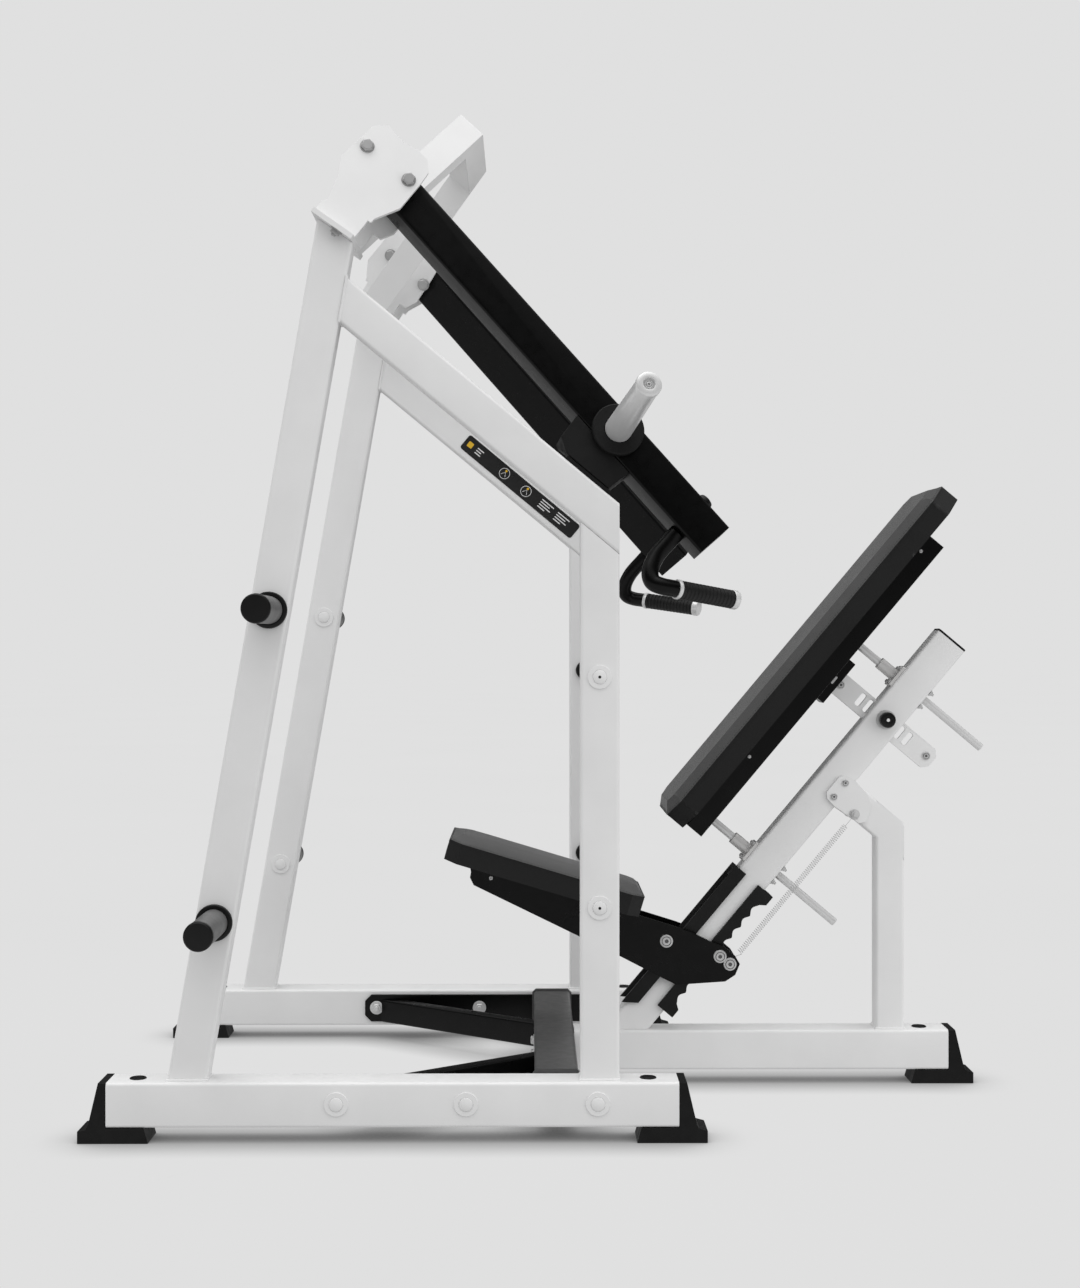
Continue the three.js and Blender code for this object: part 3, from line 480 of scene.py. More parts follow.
def stud_nut(at, direction, radius=12, height=9, plate=18, thick=2.5):
    """A nut on its washer with the end of the bolt standing out."""
    tip = thick + height + 4
    shank = radius * 0.5
    end = lathe([(0, thick), (shank, thick), (shank, tip - 1), (radius * 0.4, tip), (0, tip)], 24)
    return [*hex_bolt(at, direction, radius, height, plate, thick), (end, aim(at, direction))]


def painted_cap(at, direction):
    """A bolt's head under a painted cover: a flat ring round a low dome."""
    ring = [(0, 0), (21.5, 0), (21.5, 2), (21, 2.6), (13.4, 2.8), (12.9, 2)]
    dome = [(12.3, 2), (11.8, 4), (10.8, 4.6), (0, 4.8)]
    return [(lathe(ring + dome), aim(at, direction))]


def button(at, direction, radius=8, height=4):
    """A domed socket screw with a groove round its socket."""
    socket = radius * 0.3
    profile = [(0, 0), (radius, 0), (radius, height * 0.3), (radius * 0.95, height * 0.55)]
    profile += [(radius * 0.74, height * 0.8), (radius * 0.7, height * 0.5), (radius * 0.64, height * 0.5)]
    profile += [(radius * 0.6, height * 0.92), (socket + 0.5, height), (socket, height - 0.3)]
    profile += [(socket, height * 0.12), (0, height * 0.12)]
    return [(lathe(profile), aim(at, direction))]


def painted_groove_shade(at, direction, radius, height):
    """Dark rings painted as the shade in a button screw's groove and socket."""
    near, far, hole = radius * 0.65, radius * 0.69, radius * 0.29
    low, high = height * 0.6, height * 0.82
    ring = lathe([(near, low), (far, low), (far, high), (near, high), (near, low)])
    low, high = height * 0.3, height * 0.4
    socket = lathe([(0, low), (hole, low), (hole, high), (0, high)])
    return [(form, aim(at, direction)) for form in (ring, socket)]


def in_frame(matrix, rows):
    """(form, matrix) rows carried into a frame."""
    return [(form, matrix @ m) for form, m in rows]


def plug(at, radius=15):
    """A round plastic plug with a raised rim."""
    rim = [(radius - 3, 0.6), (radius - 2.2, 1.6), (radius - 1, 1.8), (radius, 0.6), (radius, 0)]
    return [(lathe([(0, 0.6), *rim, (0, 0)]), aim(at, UP))]


def weld_round(corners, radius=2.6, step=4.0):
    """A rippled weld bead along the closed polygon of corners."""
    points = []
    for a, b in zip(corners, [*corners[1:], corners[0]]):
        a, b = Vector(a), Vector(b)
        count = max(2, int((b - a).length / step))
        points += [a.lerp(b, i / count) for i in range(count)]
    points += [points[0].copy()]
    radii = [radius * (1.12 if i % 2 else 0.9) for i in range(len(points))]
    return sweep(points, radii, 8)


def rectangle(x0, x1, y0, y1, z0, z1):
    """The corners of a rectangle whose z runs from z0 at x0 to z1 at x1."""
    return [(x0, y0, z0), (x1, y0, z1), (x1, y1, z1), (x0, y1, z0)]


def base_details(side_name, side):
    """The bolts, plugs and welds of one side frame."""
    own = side_frame(side)
    plugs = [*plug((-703.8, BEAM_MIDDLE, BEAM_TOP)), *plug((212.4, BEAM_MIDDLE, BEAM_TOP))]
    piece(f"beam_plugs_{side_name}", in_frame(own, plugs), PLASTIC)
    outer = [row for x in BASE_BOLTS_X for row in painted_cap((x, BEAM_OUTER, BOLT_LEVEL), OUT)]
    piece(f"base_bolts_{side_name}", in_frame(own, outer), WHITE)
    inner = []
    for x in BASE_BOLTS_X[:2]:
        inner += stud_nut((x, 381.4, BOLT_LEVEL), IN, 10.5, 8, 15)
    piece(f"base_nuts_{side_name}", in_frame(own, inner), BOLT)
    nuts = [row for x, z in PEGS.values() for row in painted_cap((x, UPRIGHT_INNER, z), IN)]
    piece(f"peg_nuts_{side_name}", in_frame(own, nuts), WHITE)
    rear = [row for x, z in REAR_BOLTS for row in painted_cap((x, UPRIGHT_OUTER, z), OUT)]
    piece(f"upright_nuts_{side_name}", in_frame(own, rear), WHITE)
    stud = lathe([(0, 4.6), (2.6, 4.6), (2.6, 5.2), (2, 5.6), (0, 5.6)], 24)
    studs = [(stud, aim((x, UPRIGHT_OUTER, z), OUT)) for x, z in REAR_BOLTS]
    piece(f"upright_studs_{side_name}", in_frame(own, studs), PLASTIC)
    stop = lathe([(0, 0), (21, 0), (21, 7), (19, 10), (12, 12), (5, 12), (4, 9), (0, 9)])
    stops = [(stop, aim((x, UPRIGHT_INNER, z), IN)) for x, z in REAR_BOLTS]
    piece(f"upright_stops_{side_name}", in_frame(own, stops), RUBBER)
    half = UPRIGHT_DEPTH / 2 / math.cos(UPRIGHT_LEAN)
    foot = (UPRIGHT_FOOT_X - half, UPRIGHT_FOOT_X + half)
    rear_foot = (REAR_UPRIGHT_X, REAR_UPRIGHT_X + UPRIGHT_DEPTH)
    joints = [upright_rectangle(*run, BEAM_TOP + 1, BEAM_TOP + 1) for run in (foot, rear_foot)]
    joints.append(diagonal_joint(half))
    beads = [(weld_round(joint), own) for joint in joints]
    piece(f"weld_beads_{side_name}", beads, WHITE)


def upright_rectangle(x0, x1, z0, z1):
    """The corners of a joint that is as wide as an upright."""
    return rectangle(x0, x1, UPRIGHT_INNER, UPRIGHT_OUTER, z0, z1)


def diagonal_joint(half):
    """Where the diagonal beam meets the leaning upright's face, found by going back and forth."""
    corners = []
    for depth in (0, -DIAGONAL_DEPTH):
        run = DIAGONAL @ Vector((-700, 0, depth))
        x = run.x
        for _ in range(20):
            z = run.z - (x - run.x) * math.tan(DIAGONAL_TILT)
            x = UPRIGHT_FOOT_X + (z - BEAM_TOP) * math.tan(UPRIGHT_LEAN) + half
        corners.append((x + 0.6, z))
    (x0, z0), (x1, z1) = corners
    return upright_rectangle(x0, x1, z0, z1)


def storage_pegs(side_name, side):
    """A tube with a plastic collar and an end cap for each peg."""
    own = side_frame(side)
    tube = lathe([(0, 8), (25, 8), (25, 152), (0, 152)], 48)
    collar = lathe([(24, 0.4), (32, 0.4), (33, 1.4), (33, 8), (31.5, 10), (27, 10.6), (24.6, 9)], 48)
    cap = lathe([(0, 150), (25.6, 150), (25.9, 153), (25.6, 158), (23.5, 160), (0, 160.6)], 48)
    ends = []
    for level, (x, z) in PEGS.items():
        matrix = own @ aim((x, UPRIGHT_OUTER, z), OUT)
        names = (f"storage_peg_{level}_{side_name}",)
        piece(f"peg_tube_{level}_{side_name}", [(tube, matrix)], TUBE, replaces=names)
        ends += [(collar, matrix), (cap, matrix)]
    piece(f"peg_ends_{side_name}", ends, PLASTIC)


for side_name, side in SIDES:
    base_details(side_name, side)
    storage_pegs(side_name, side)
piece("spine_plug", in_frame(BASE, plug((793, 0, BEAM_TOP))), PLASTIC)


# ------------------------------------------------------------------ the arms

GRIP_START = Vector((921.7, -11.4, -102.6))
GRIP_WAY = Vector((86.2, -41.6, 87.4)).normalized()
HANDLE_BENDS = [
    Vector((843, -1, -37.4)), Vector((845, -4.8, -55.5)), Vector((849.9, -9, -91.2)),
    Vector((862.3, -7.4, -119.9)), Vector((879.6, -3.5, -132.6)), Vector((896.7, -0.6, -126.9)),
    GRIP_START - 12 * GRIP_WAY, GRIP_START.copy(),
]


def ribbed_profile(length=116.0, ribs=14):
    """The outline of a ribbed sleeve."""
    profile = [(0, 1.0), (16, 1.0), (16.9, 1.8)]
    pitch = (length - 4) / ribs
    for i in range(ribs):
        start = 2 + i * pitch
        profile += [(17, start + pitch * 0.12), (17, start + pitch * 0.58)]
        profile += [(15.6, start + pitch * 0.7), (15.6, start + pitch * 0.95)]
    return [*profile, (16.9, length - 1.6), (16, length - 0.8), (0, length - 0.8)]


def horn(side_name, frame_of_arm):
    """The chromed sleeve, its rubber collar and the bolt in its end."""
    body = f"{side_name}_arm"
    matrix = frame_of_arm @ aim((635, 26.3, -2), OUT)
    sleeve = [(0, 13), (25, 13), (21.3, 228), (21.3, 229), (22.5, 229.4), (22.5, 238.4), (21.6, 240.6)]
    sleeve += [(19.8, 241.8), (12.4, 243), (10.6, 242.4), (10, 236), (0, 236)]
    names = (f"weight_horn_{side_name}",)
    piece(f"horn_sleeve_{side_name}", [(lathe(sleeve, 64), matrix)], CHROME, body, replaces=names)
    collar = lathe([(24.6, 0.6), (46.5, 0.6), (48, 2), (48, 11.6), (46, 13.8), (27, 14.4), (25.4, 13)], 72)
    piece(f"horn_collar_{side_name}", [(collar, matrix)], RUBBER, body)
    bolt = in_frame(matrix, button((0, 0, 235.8), UP, 7.2, 5))
    piece(f"horn_bolt_{side_name}", bolt, BOLT, body)


def grip(side_name, frame_of_arm):
    """The bent handle with its ring, ribbed sleeve and end cap."""
    body = f"{side_name}_arm"
    path = smooth_path(HANDLE_BENDS)
    names = (f"handle_{side_name}",)
    tube = (sweep(path, 15.5, 28), frame_of_arm)
    piece(f"handle_tube_{side_name}", [tube], BLACK, body, replaces=names)
    matrix = frame_of_arm @ aim(GRIP_START, GRIP_WAY)
    names = (f"handle_grip_{side_name}",)
    sleeve = (lathe(ribbed_profile(), 40), matrix)
    piece(f"grip_sleeve_{side_name}", [sleeve], GRIP, body, replaces=names)
    ring = lathe([(15, -6), (17.4, -6), (18, -5), (18, 0), (17.4, 1), (15, 1)])
    cap = lathe([(0, 115.4), (17, 115.4), (17.8, 116.4), (17.8, 124), (16.4, 127), (13, 128.2), (0, 128.6)])
    piece(f"grip_metal_{side_name}", [(ring, matrix), (cap, matrix)], CHROME, body)


def arm_details(side_name, side):
    """Everything on one arm and its bracket."""
    arm = side_frame(side) @ ARM
    horn(side_name, arm)
    grip(side_name, arm)
    cap = lathe([(0, 0), (15, 0), (15, 8), (13.4, 11.4), (9, 13.4), (0, 14)])
    caps = [(cap, arm @ aim((834, 0, 37), UP))]
    piece(f"arm_bolt_cap_{side_name}", caps, PLASTIC, f"{side_name}_arm")
    bolts = []
    for y, way, places in ((55, OUT, ((-48, -5), (47, 11))), (-55, IN, ((-34, -11), (62, 0.5)))):
        for x, z in places:
            bolts += hex_bolt((x, y, z), way, 12, 7, 13.4, 1.6)
    piece(f"bracket_bolts_{side_name}", in_frame(arm, bolts), DARK_BOLT, edge=0.3)
    head = side_frame(side) @ HEAD
    under = [row for y in (465, 385) for row in stud_nut((50, y, -9), DOWN, 9, 7, 12, 1.6)]
    piece(f"bracket_base_bolts_{side_name}", in_frame(head, under), DARK_BOLT)
    collar = lathe([(15.2, 36.4), (25, 36.4), (25, 45.5), (15.2, 45.5)])
    rings = [(collar, arm @ aim((0, 0, 0), way)) for way in (OUT, IN)]
    piece(f"pivot_bearings_{side_name}", rings, PLASTIC)


for side_name, side in SIDES:
    arm_details(side_name, side)


# ------------------------------------------------------- seat post and its parts


def obround(x, z, width, length, steps=10):
    """An outline with round ends that is longer along z."""
    radius, reach = width / 2, (length - width) / 2
    points = []
    for way in (1, -1):
        for i in range(steps + 1):
            angle = math.pi * i / steps
            across = radius * math.cos(angle)
            along = reach + radius * math.sin(angle)
            points.append((x + way * across, z + way * along))
    return points


def rack_outline():
    """The rack plate's outline, with a wave of shallow notches."""
    points = [(RACK_NEAR, RACK_LOW), (RACK_FAR, RACK_LOW), (RACK_FAR, -374)]
    first, pitch, count, per_notch = -121, 28.8, 9, 12
    for i in range(per_notch * count + 1):
        turns = i / per_notch - count + 0.5
        share = (0.5 + 0.5 * math.cos(2 * math.pi * turns)) ** 0.7
        points.append((694 - 7 * share, first + turns * pitch))
    points += [(RACK_FAR, -98), (RACK_FAR, RACK_HIGH), (RACK_NEAR, RACK_HIGH)]
    return points


def rack():
    """The two notched plates beside the seat post and the bridges between their ends."""
    forms = [(prism(rack_outline(), s * 25.3, s * 33), POST) for s in (1, -1)]
    for z in BRIDGE_LEVELS:
        top = z + BRIDGE_LENGTH
        bridge = [(685.6, z), (RACK_FAR, z), (RACK_FAR, top), (685.6, top)]
        forms.append((prism(bridge, -26, 26), POST))
    names = ("seat_rack",)
    piece("seat_rack_plates", forms, PLASTIC, edge=0.8, replaces=names)


def post_bolts():
    """The bolts of the rack, the gusset and the post's flanges."""
    ends = []
    for z in BRIDGE_LEVELS:
        ends += button((RACK_FAR, 0, z + BRIDGE_LENGTH / 2), REARWARD, 6, 4)
    gusset, groove_shade_rows = [], []
    for way in (OUT, IN):
        y = 31.3 * way[1]
        for z in (194.4, 158.3):
            gusset += button((669.2, y, z), way, 7.5, 4)
            groove_shade_rows += painted_groove_shade((669.2, y, z), way, 7.5, 4)
        gusset += stud_nut((724, y, 157.5), way, 8.5, 6, 10.8, 1.4)
    flanges = []
    for level in (428.9, -35.7):
        for dy in (-17, 17):
            for dz in (-17, 17):
                flanges += button((609.3, dy, level + dz), FORWARD, 4.6, 4)
                flanges += stud_nut((685.3, dy, level + dz), REARWARD, 5.5, 4.5, 7, 1)
    piece("post_bolts", in_frame(POST, ends + gusset + flanges), BOLT)
    # Painted shade: dark rings in the gusset bolts' grooves and sockets.
    piece("gusset_bolt_groove_shade", in_frame(POST, groove_shade_rows), TUBE)


def carriage_bolts():
    """The bolts on both plates of the seat carriage, and the small screw on one of them."""
    bolts, groove_shade_rows = [], []
    for y, way in ((CARRIAGE_FACE, OUT), (-CARRIAGE_FACE, IN)):
        for x, z in CARRIAGE_BOLTS:
            bolts += button((x, y, z), way, 13.2, 4.5)
            groove_shade_rows += painted_groove_shade((x, y, z), way, 13.2, 4.5)
    piece("carriage_bolts", in_frame(POST, bolts), BOLT, "seat")
    # Painted shade: dark rings in the carriage bolts' grooves and sockets.
    piece("carriage_bolt_groove_shade", in_frame(POST, groove_shade_rows), TUBE, "seat")
    screw = in_frame(BASE, button((-78.5, -CARRIAGE_FACE, 417), IN, 4.2, 2))
    piece("carriage_screw", screw, PRINT_WHITE, "seat")


def pull_pin():
    """The knob on the back pad's pull pin, with the ring it slides in and the dot on its end."""
    ring = lathe([(10, 0), (19.6, 0), (20, 0.6), (20, 1.6), (19.4, 2.2), (10, 2.2)])
    knob = [(5, 6), (14, 6.8), (15.2, 8.4), (15.8, 12), (15.8, 21), (15, 23.6), (13, 25)]
    knob += [(9, 25.3), (8, 24.4), (0, 24.4)]
    stem = lathe([(0, -2), (8.8, -2), (8.8, 8), (0, 8)])
    matrix = POST @ aim((650.9, -25.3, 346), IN)
    piece("pull_pin_ring", [(ring, matrix)], BOLT)
    names = ("pull_pin",)
    knob_forms = [(lathe([(0, 6), *knob], 48), matrix), (stem, matrix)]
    piece("pull_pin_knob", knob_forms, PLASTIC, "pull_pin_body", replaces=names)
    dot = lathe([(0, 24.2), (3.2, 24.2), (3.4, 24.5), (3, 24.8), (0, 24.8)], 24)
    piece("pull_pin_dot", [(dot, matrix)], PRINT_WHITE, "pull_pin_body")


def return_spring():
    """A stretched coil spring with straight ends, between the seat carriage and the gusset."""
    x, y, low, high = 723.5, -38, -205, 128
    radius, wire, pitch, per_turn = 5.6, 0.5, 4.6, 12
    turns = (high - low) / pitch
    steps = int(turns * per_turn)
    path = []
    for i in range(steps + 1):
        angle = 2 * math.pi * turns * i / steps
        z = low + (high - low) * i / steps
        path.append(Vector((x + radius * math.cos(angle), y + radius * math.sin(angle), z)))
    lower = [(x, y, low - 24), (x, y, low - 10), (x + radius, y, low)]
    upper = [(x, y, high), (x, y, high + 26)]
    forms = [(sweep(line, wire, 6), POST) for line in (path, lower, upper)]
    spring = piece("seat_spring_coil", forms, BOLT, "root", replaces=("seat_spring",))
    spring.parent = None
    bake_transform(spring)


def back_details():
    """The screws, bolts and clamp of the back pad."""
    body = "back_pad_carriage"
    screws = []
    for y, way in ((120, OUT), (-120, IN)):
        for x, z in ((474, 108), (473, 636)):
            screws += button((x, y, z), way, 3.6, 2)
    plate, groove_shade_rows = [], []
    for x, z in ((538.5, 343), (764.6, 344)):
        for y, way in ((4, OUT), (-4, IN)):
            plate += button((x, y, z), way, 8.6, 4)
            groove_shade_rows += painted_groove_shade((x, y, z), way, 8.6, 4)
    # Painted shade: dark rings in the clamp plate bolts' grooves and sockets.
    piece("plate_bolt_groove_shade", in_frame(POST, groove_shade_rows), TUBE, body)
    piece("back_screws", in_frame(POST, screws + plate), BOLT, body)
    slots = [(prism(obround(519, 340, 4.6, 18), s * 25.8, s * 26.6), POST) for s in (1, -1)]
    piece("clamp_slots", slots, BOLT, body)
    boards = [(503, y, z) for y in (-85, 85) for z in (0, 210, 420, 610)]
    bolts = [row for at in boards for row in button(at, REARWARD, 7, 3.4)]
    piece("back_board_bolts", in_frame(POST, bolts), BOLT, body)


rack()
post_bolts()
carriage_bolts()
pull_pin()
return_spring()
back_details()
CROSS_BOLTS = [row for y in (-60, 60) for row in hex_bolt((9, y, 68), FORWARD, 9, 6, 12, 1.6)]
piece("crossbeam_bolts", in_frame(BASE, CROSS_BOLTS), BOLT)
COLUMN_FOOT = rectangle(701, 758, -25, 25, BEAM_TOP + 1, BEAM_TOP + 1)
piece("column_weld", [(weld_round(COLUMN_FOOT), BASE)], WHITE)


# -------------------------------------------------------------------- sticker


def rounded_outline(x0, x1, z0, z1, radius, steps=5):
    """A rectangle's outline with round corners."""
    points = []
    left, right = x0 + radius, x1 - radius
    low, high = z0 + radius, z1 - radius
    for quarter, (x, z) in enumerate(((right, high), (left, high), (left, low), (right, low))):
        for i in range(steps + 1):
            angle = math.pi / 2 * (quarter + i / steps)
            points.append((x + radius * math.cos(angle), z + radius * math.sin(angle)))
    return points


def sticker():
    """A plain sticker inside the right diagonal beam: black, with generic signs and no words."""
    own = side_frame(1) @ DIAGONAL
    face = 399
    back = rounded_outline(-369, -45, -55, -17.5, 6)
    piece("sticker_back", [(prism(back, face + 0.2, face + 0.7), own)], VINYL)
    bars = [(-336, 18, -30), (-336, 14, -36), (-336, 16, -42)]
    for start in (-150, -104):
        bars += [(start, length, z) for length, z in ((34, -26), (26, -32), (32, -38), (20, -44))]
    white = []
    for x, length, z in bars:
        bar = rounded_outline(x, x + length, z - 1.2, z + 1.2, 1)
        white.append((prism(bar, face - 0.1, face + 0.3), own))
    yellow = [(prism(rounded_outline(-360, -347, -42, -29, 2), face - 0.1, face + 0.3), own)]
    for x in (-253, -190):
        angles = [k * math.pi / 12 for k in range(25)]
        loop = [(x + 12 * math.cos(angle), face, -36 + 12 * math.sin(angle)) for angle in angles]
        peak = [(x - 6, face, -42), (x, face, -32), (x + 6, face, -42)]
        white += [(sweep(line, 0.7, 6), own) for line in (loop, peak)]
        yellow.append((prism(obround(x, -29, 5, 5.2), face - 0.3, face + 0.3), own))
    piece("sticker_marks_white", white, PRINT_WHITE)
    piece("sticker_marks_yellow", yellow, PRINT_YELLOW)


sticker()


# ------------------------------------------------------------------- cushions


def hull_mesh(name, points, matrix, axis, front):
    """The closed form round points in a frame, cut into cells, with creases and panels marked."""
    shell = bmesh.new()
    for point in points:
        shell.verts.new(Vector(point))
    bmesh.ops.convex_hull(shell, input=shell.verts)
    bmesh.ops.dissolve_limit(shell, angle_limit=math.radians(1), verts=shell.verts, edges=shell.edges)
    crease = shell.edges.layers.float.new("bevel_weight_edge")
    for edge in shell.edges:
        edge[crease] = 1.0
    for way in range(3):
        low = min(v.co[way] for v in shell.verts)
        high = max(v.co[way] for v in shell.verts)
        for i in range(1, int((high - low) / CELL)):
            place, normal = Vector(), Vector()
            place[way] = low + i * CELL
            normal[way] = 1
            whole = [*shell.verts, *shell.edges, *shell.faces]
            bmesh.ops.bisect_plane(shell, geom=whole, plane_co=place, plane_no=normal)
    bmesh.ops.recalc_face_normals(shell, faces=shell.faces)
    for face in shell.faces:
        face.smooth = True
        face.material_index = 0 if face.normal[axis] * front > 0.1 else 1
    bmesh.ops.transform(shell, matrix=Matrix.Scale(MM, 4) @ matrix, verts=shell.verts)
    mesh = bpy.data.meshes.new(name)
    shell.to_mesh(mesh)
    shell.free()
    return mesh


def corner_ring(make, half, low, high, cut, level):
    """Eight points of a rectangle with cut corners at one level of a pad."""
    points = []
    for side in (-1, 1):
        for along, across in ((low, half - cut), (low + cut, half), (high - cut, half), (high, half - cut)):
            points.append(make(along, side * across, level))
    return points


def seat_point(along, across, level):
    """A place on the seat pad, in the frame SEAT."""
    return (along, across, level)


def back_point(along, across, level):
    """A place on the back pad, in the frame POST."""
    return (level, across, along)


def applied(obj):
    """Replaces the object's mesh by its shape with modifiers."""
    graph = bpy.context.evaluated_depsgraph_get()
    mesh = bpy.data.meshes.new_from_object(obj.evaluated_get(graph))
    obj.modifiers.clear()
    obj.data = mesh


def inflate(obj, pinned, cap):
    """Puffs the cover by cloth simulation, and caps how far a point may move."""
    group = obj.vertex_groups.new(name="held")
    start = [v.co.copy() for v in obj.data.vertices]
    for vertex, hold in zip(obj.data.vertices, pinned):
        group.add([vertex.index], hold, "REPLACE")
    cloth = obj.modifiers.new("puff", "CLOTH")
    settings = cloth.settings
    settings.quality = 4
    settings.use_pressure = True
    settings.uniform_pressure_force = 4
    settings.tension_stiffness = 12
    settings.compression_stiffness = 12
    settings.bending_stiffness = 3
    settings.vertex_group_mass = "held"
    settings.effector_weights.gravity = 0
    scene = bpy.context.scene
    for step in range(1, PUFF_FRAMES + 1):
        scene.frame_set(step)
    graph = bpy.context.evaluated_depsgraph_get()
    moved = [v.co.copy() for v in obj.evaluated_get(graph).data.vertices]
    obj.modifiers.clear()
    scene.frame_set(1)
    for vertex, old, new in zip(obj.data.vertices, start, moved):
        way = new - old
        vertex.co = old + way * (cap * math.tanh(way.length / cap) / max(way.length, 1e-9))


def creased(mesh):
    """The points of a mesh's marked creases."""
    weight = mesh.attributes["bevel_weight_edge"].data
    return {v for edge in mesh.edges if weight[edge.index].value > 0.5 for v in edge.vertices}


def cushion(name, points, matrix, axis, front, covers, body, node):
    """A foam pad under a sewn cover: cut into panels, puffed between its seams, with rounded creases."""
    obj = linked(name, hull_mesh(name, points, matrix, axis, front), covers[0], body)
    obj.data.materials.append(covers[1])
    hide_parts(node)
    inverse = matrix.inverted()
    base = [(inverse @ (v.co / MM))[axis] * front for v in obj.data.vertices]
    lowest = min(base)
    held = [0.0] * len(base)
    for i in creased(obj.data):
        held[i] = SEAM_HOLD
    for i, level in enumerate(base):
        if level < lowest + 4:
            held[i] = 1.0
    inflate(obj, held, PUFF)
    bevel = obj.modifiers.new("rolled_seams", "BEVEL")
    bevel.limit_method = "WEIGHT"
    bevel.width = SEAM_WIDTH * MM
    bevel.segments = 3
    even = obj.modifiers.new("flat_panels", "WEIGHTED_NORMAL")
    even.weight = 80
    applied(obj)
    return obj


def on_surface(obj, points):
    """Points moved to the nearest place of an object's surface."""
    tree = BVHTree.FromPolygons([v.co for v in obj.data.vertices], [p.vertices for p in obj.data.polygons])
    found = []
    for point in points:
        place, normal, _, _ = tree.find_nearest(point)
        found.append((place, normal))
    return found


def along_loop(corners, step):
    """Evenly spaced points round a closed polygon."""
    made = []
    for a, b in zip(corners, [*corners[1:], corners[0]]):
        count = max(1, round((b - a).length / step))
        made += [a.lerp(b, i / count) for i in range(count)]
    return made


def loop_order(points):
    """The eight points of corner_ring in order round the pad."""
    return [*points[:4], *reversed(points[4:])]


def sewn(name, obj, ring, matrix, body):
    """A thin piping along the seam round a pad."""
    corners = [(matrix @ Vector(p)) * MM for p in loop_order(ring)]
    spots = on_surface(obj, along_loop(corners, 0.006))
    path = [place / MM + normal * 0.1 for place, normal in spots]
    piping = [(sweep([*path, path[0]], 0.8, 8), Matrix.Identity(4))]
    piece(name + "_piping", piping, SIDE_COVER, body)


def stitched(name, obj, ring, matrix, body):
    """A row of short stitches round a pad."""
    corners = [(matrix @ Vector(p)) * MM for p in loop_order(ring)]
    spots = on_surface(obj, along_loop(corners, 0.0035))
    forms = []
    for (a, normal_a), (b, normal_b) in zip(spots[::2], spots[1::2]):
        start = a / MM + normal_a * 0.15
        end = b / MM + normal_b * 0.15
        middle = (start + end) / 2 + normal_a * 0.35
        forms.append((sweep([start, middle, end], [0.2, 0.32, 0.2], 6), Matrix.Identity(4)))
    piece(name + "_stitches", forms, THREAD, body)


def seat_cushion():
    """The seat pad: a flat crown, sloping flanks and upright sides with cut corners."""
    low, high, half, cut = -2, 399.5, 138.5, 26
    base = corner_ring(seat_point, half, low, high, cut, 0.3)
    edge = corner_ring(seat_point, half, low, high, cut, 40.5)
    crown = corner_ring(seat_point, 61, 22, 382, 13, 52.5)
    covers = (SEAT_WEAVE, SIDE_COVER)
    obj = cushion("seat_cushion", base + edge + crown, SEAT, 2, 1, covers, "seat", "seat_pad")
    seam = corner_ring(seat_point, half + 0.5, low, high, cut, 41)
    lower = corner_ring(seat_point, half + 1, low - 0.5, high + 0.5, cut, 35.5)
    upper = corner_ring(seat_point, 130, low + 2, high - 2, cut - 2, 44)
    sewn("seat_seam", obj, seam, SEAT, "seat")
    stitched("seat_lower", obj, lower, SEAT, "seat")
    stitched("seat_upper", obj, upper, SEAT, "seat")


def back_cushion():
    """The back pad: a flat face, sloping flanks and upright sides with cut corners."""
    low, high, half, cut = -84.5, 765, 138.5, 40
    base = corner_ring(back_point, half, low, high, cut, 466.3)
    edge = corner_ring(back_point, half, low, high, cut, 426)
    crown = corner_ring(back_point, 94, low + 20, high - 20, 20, 410.8)
    covers = (BACK_WEAVE, SIDE_COVER)
    body = "back_pad_carriage"
    obj = cushion("back_cushion", base + edge + crown, POST, 0, -1, covers, body, "back_pad")
    seam = corner_ring(back_point, half + 0.5, low, high, cut, 425.4)
    lower = corner_ring(back_point, half + 1, low - 0.5, high + 0.5, cut, 431)
    upper = corner_ring(back_point, 132, low + 3, high - 3, cut - 3, 422.8)
    sewn("back_seam", obj, seam, POST, body)
    stitched("back_lower", obj, lower, POST, body)
    stitched("back_upper", obj, upper, POST, body)


seat_cushion()
back_cushion()


# ----------------------------------------------------------- floor, light, camera


def floor():
    """A wide pale floor, evenly bright, with a painted contact shadow darkening it close round what stands
    on it.
    """
    material = bpy.data.materials.new("studio_floor")
    material.use_nodes = True
    tree = material.node_tree
    tree.nodes.clear()
    material.cycles.emission_sampling = "NONE"
    coords = add(tree, "TexCoord").outputs["Object"]
    shade = toned(tree, noise(tree, coords, 0.7), grey(0.742), grey(0.748))
    # Painted contact shadow: ambient occlusion darkens the floor's glowing colour where the machine stands
    # close over it.
    painted_contact_shadow = add(tree, "AmbientOcclusion", {"Color": shade, "Distance": 0.1}, samples=16).outputs["Color"]
    seen = add(tree, "Emission", {"Color": painted_contact_shadow, "Strength": 1.0}).outputs[0]
    path = add(tree, "LightPath").outputs
    level = ranged(tree, path["Is Glossy Ray"], 0.68, 0.7, 0.0, 1.0)
    given = add(tree, "Emission", {"Color": shade, "Strength": level}).outputs[0]
    mix = add(tree, "MixShader", {0: path["Is Camera Ray"], 1: given, 2: seen}).outputs[0]
    tree.links.new(mix, add(tree, "OutputMaterial").inputs[0])
    mesh = bpy.data.meshes.new("floor")
    reach = 60.0
    corners = [(-reach, -reach, 0), (reach, -reach, 0), (reach, reach, 0), (-reach, reach, 0)]
    mesh.from_pydata(corners, [], [(0, 1, 2, 3)])
    obj = bpy.data.objects.new("floor", mesh)
    mesh.materials.append(material)
    bpy.context.scene.collection.objects.link(obj)


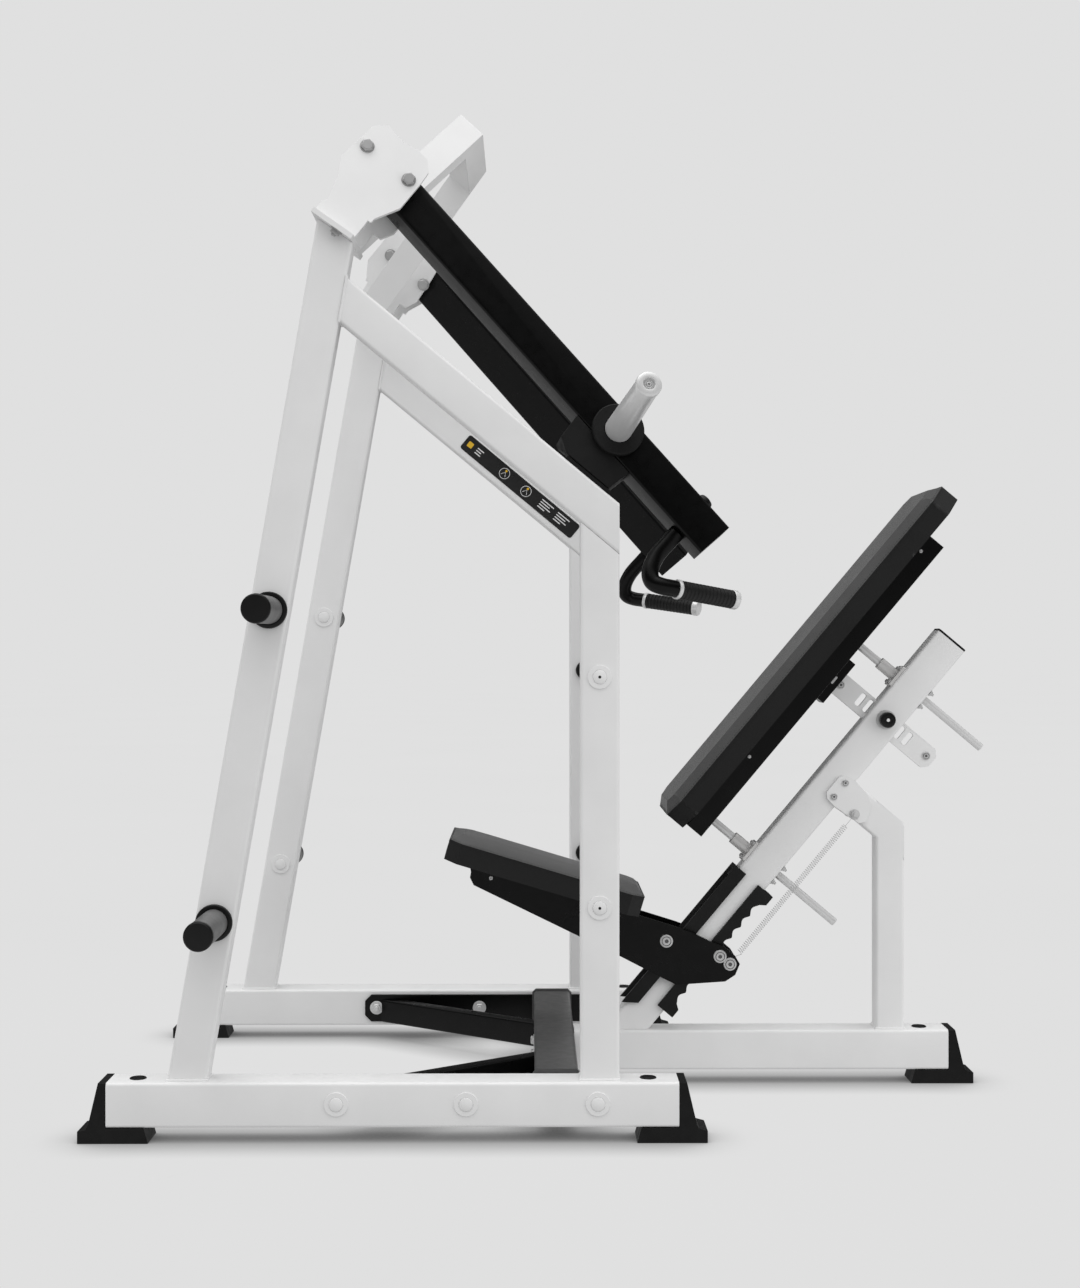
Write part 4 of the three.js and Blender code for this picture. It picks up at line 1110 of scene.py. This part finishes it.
def studio():
    """A pale backdrop and an overhead sky; polished faces mirror darker walls."""
    world = bpy.data.worlds.new("studio")
    world.use_nodes = True
    world.cycles.sampling_method = "NONE"
    bpy.context.scene.world = world
    tree = world.node_tree
    tree.nodes.clear()
    way = add(tree, "TexCoord").outputs["Generated"]
    height = add(tree, "SeparateXYZ", {"Vector": way}).outputs[2]
    path = add(tree, "LightPath").outputs
    soft = ranged(tree, height, 0.4, 1.4, 0.0, 1.0)
    mirrored = ranged(tree, height, 0.05, 1.25, 0.55, 1.0)
    level = add(tree, "Mix", {0: path["Is Glossy Ray"], 2: soft, 3: mirrored}).outputs[0]
    lit = add(tree, "Background", {"Color": (1, 1, 1, 1), "Strength": level}).outputs[0]
    seen = add(tree, "Background", {"Color": (*grey(0.745), 1), "Strength": 1.0}).outputs[0]
    mix = add(tree, "MixShader", {0: path["Is Camera Ray"], 1: lit, 2: seen}).outputs[0]
    tree.links.new(mix, add(tree, "OutputWorld").inputs[0])


def lamp(name, at, towards, size, watts, mirrored=True):
    """A soft square light, which polished faces may or may not mirror."""
    light = bpy.data.lights.new(name, "AREA")
    light.shape = "SQUARE"
    light.size = size
    light.energy = watts
    obj = bpy.data.objects.new(name, light)
    obj.visible_glossy = mirrored
    turn = (Vector(towards) - Vector(at)).to_track_quat("-Z", "Y")
    obj.matrix_world = Matrix.Translation(at) @ turn.to_matrix().to_4x4()
    bpy.context.scene.collection.objects.link(obj)


def camera():
    """Level with the pad's middle, square to the machine's left side."""
    data = bpy.data.cameras.new("camera")
    data.sensor_fit = "VERTICAL"
    data.sensor_height = 36.0
    data.lens = 50.0
    obj = bpy.data.objects.new("camera", data)
    distance, height, turn = 3.645, 0.888, math.radians(-0.32)
    obj.location = (SHIFT * MM, -distance, height)
    obj.rotation_euler = (math.radians(90), 0, turn)
    bpy.context.scene.collection.objects.link(obj)
    bpy.context.scene.camera = obj


floor()
studio()
camera()
lamp("overhead", (-0.6, -0.8, 4.2), (0, 0, 0.6), 3.0, 24)
lamp("fill", (-0.6, -3.3, 2.2), (-0.1, 0, 1.3), 2.5, 4, False)
lamp("rim", (2.8, -1.6, 1.1), (-0.2, 0, 1.6), 2.0, 18, False)
bpy.context.scene.view_settings.view_transform = "Standard"
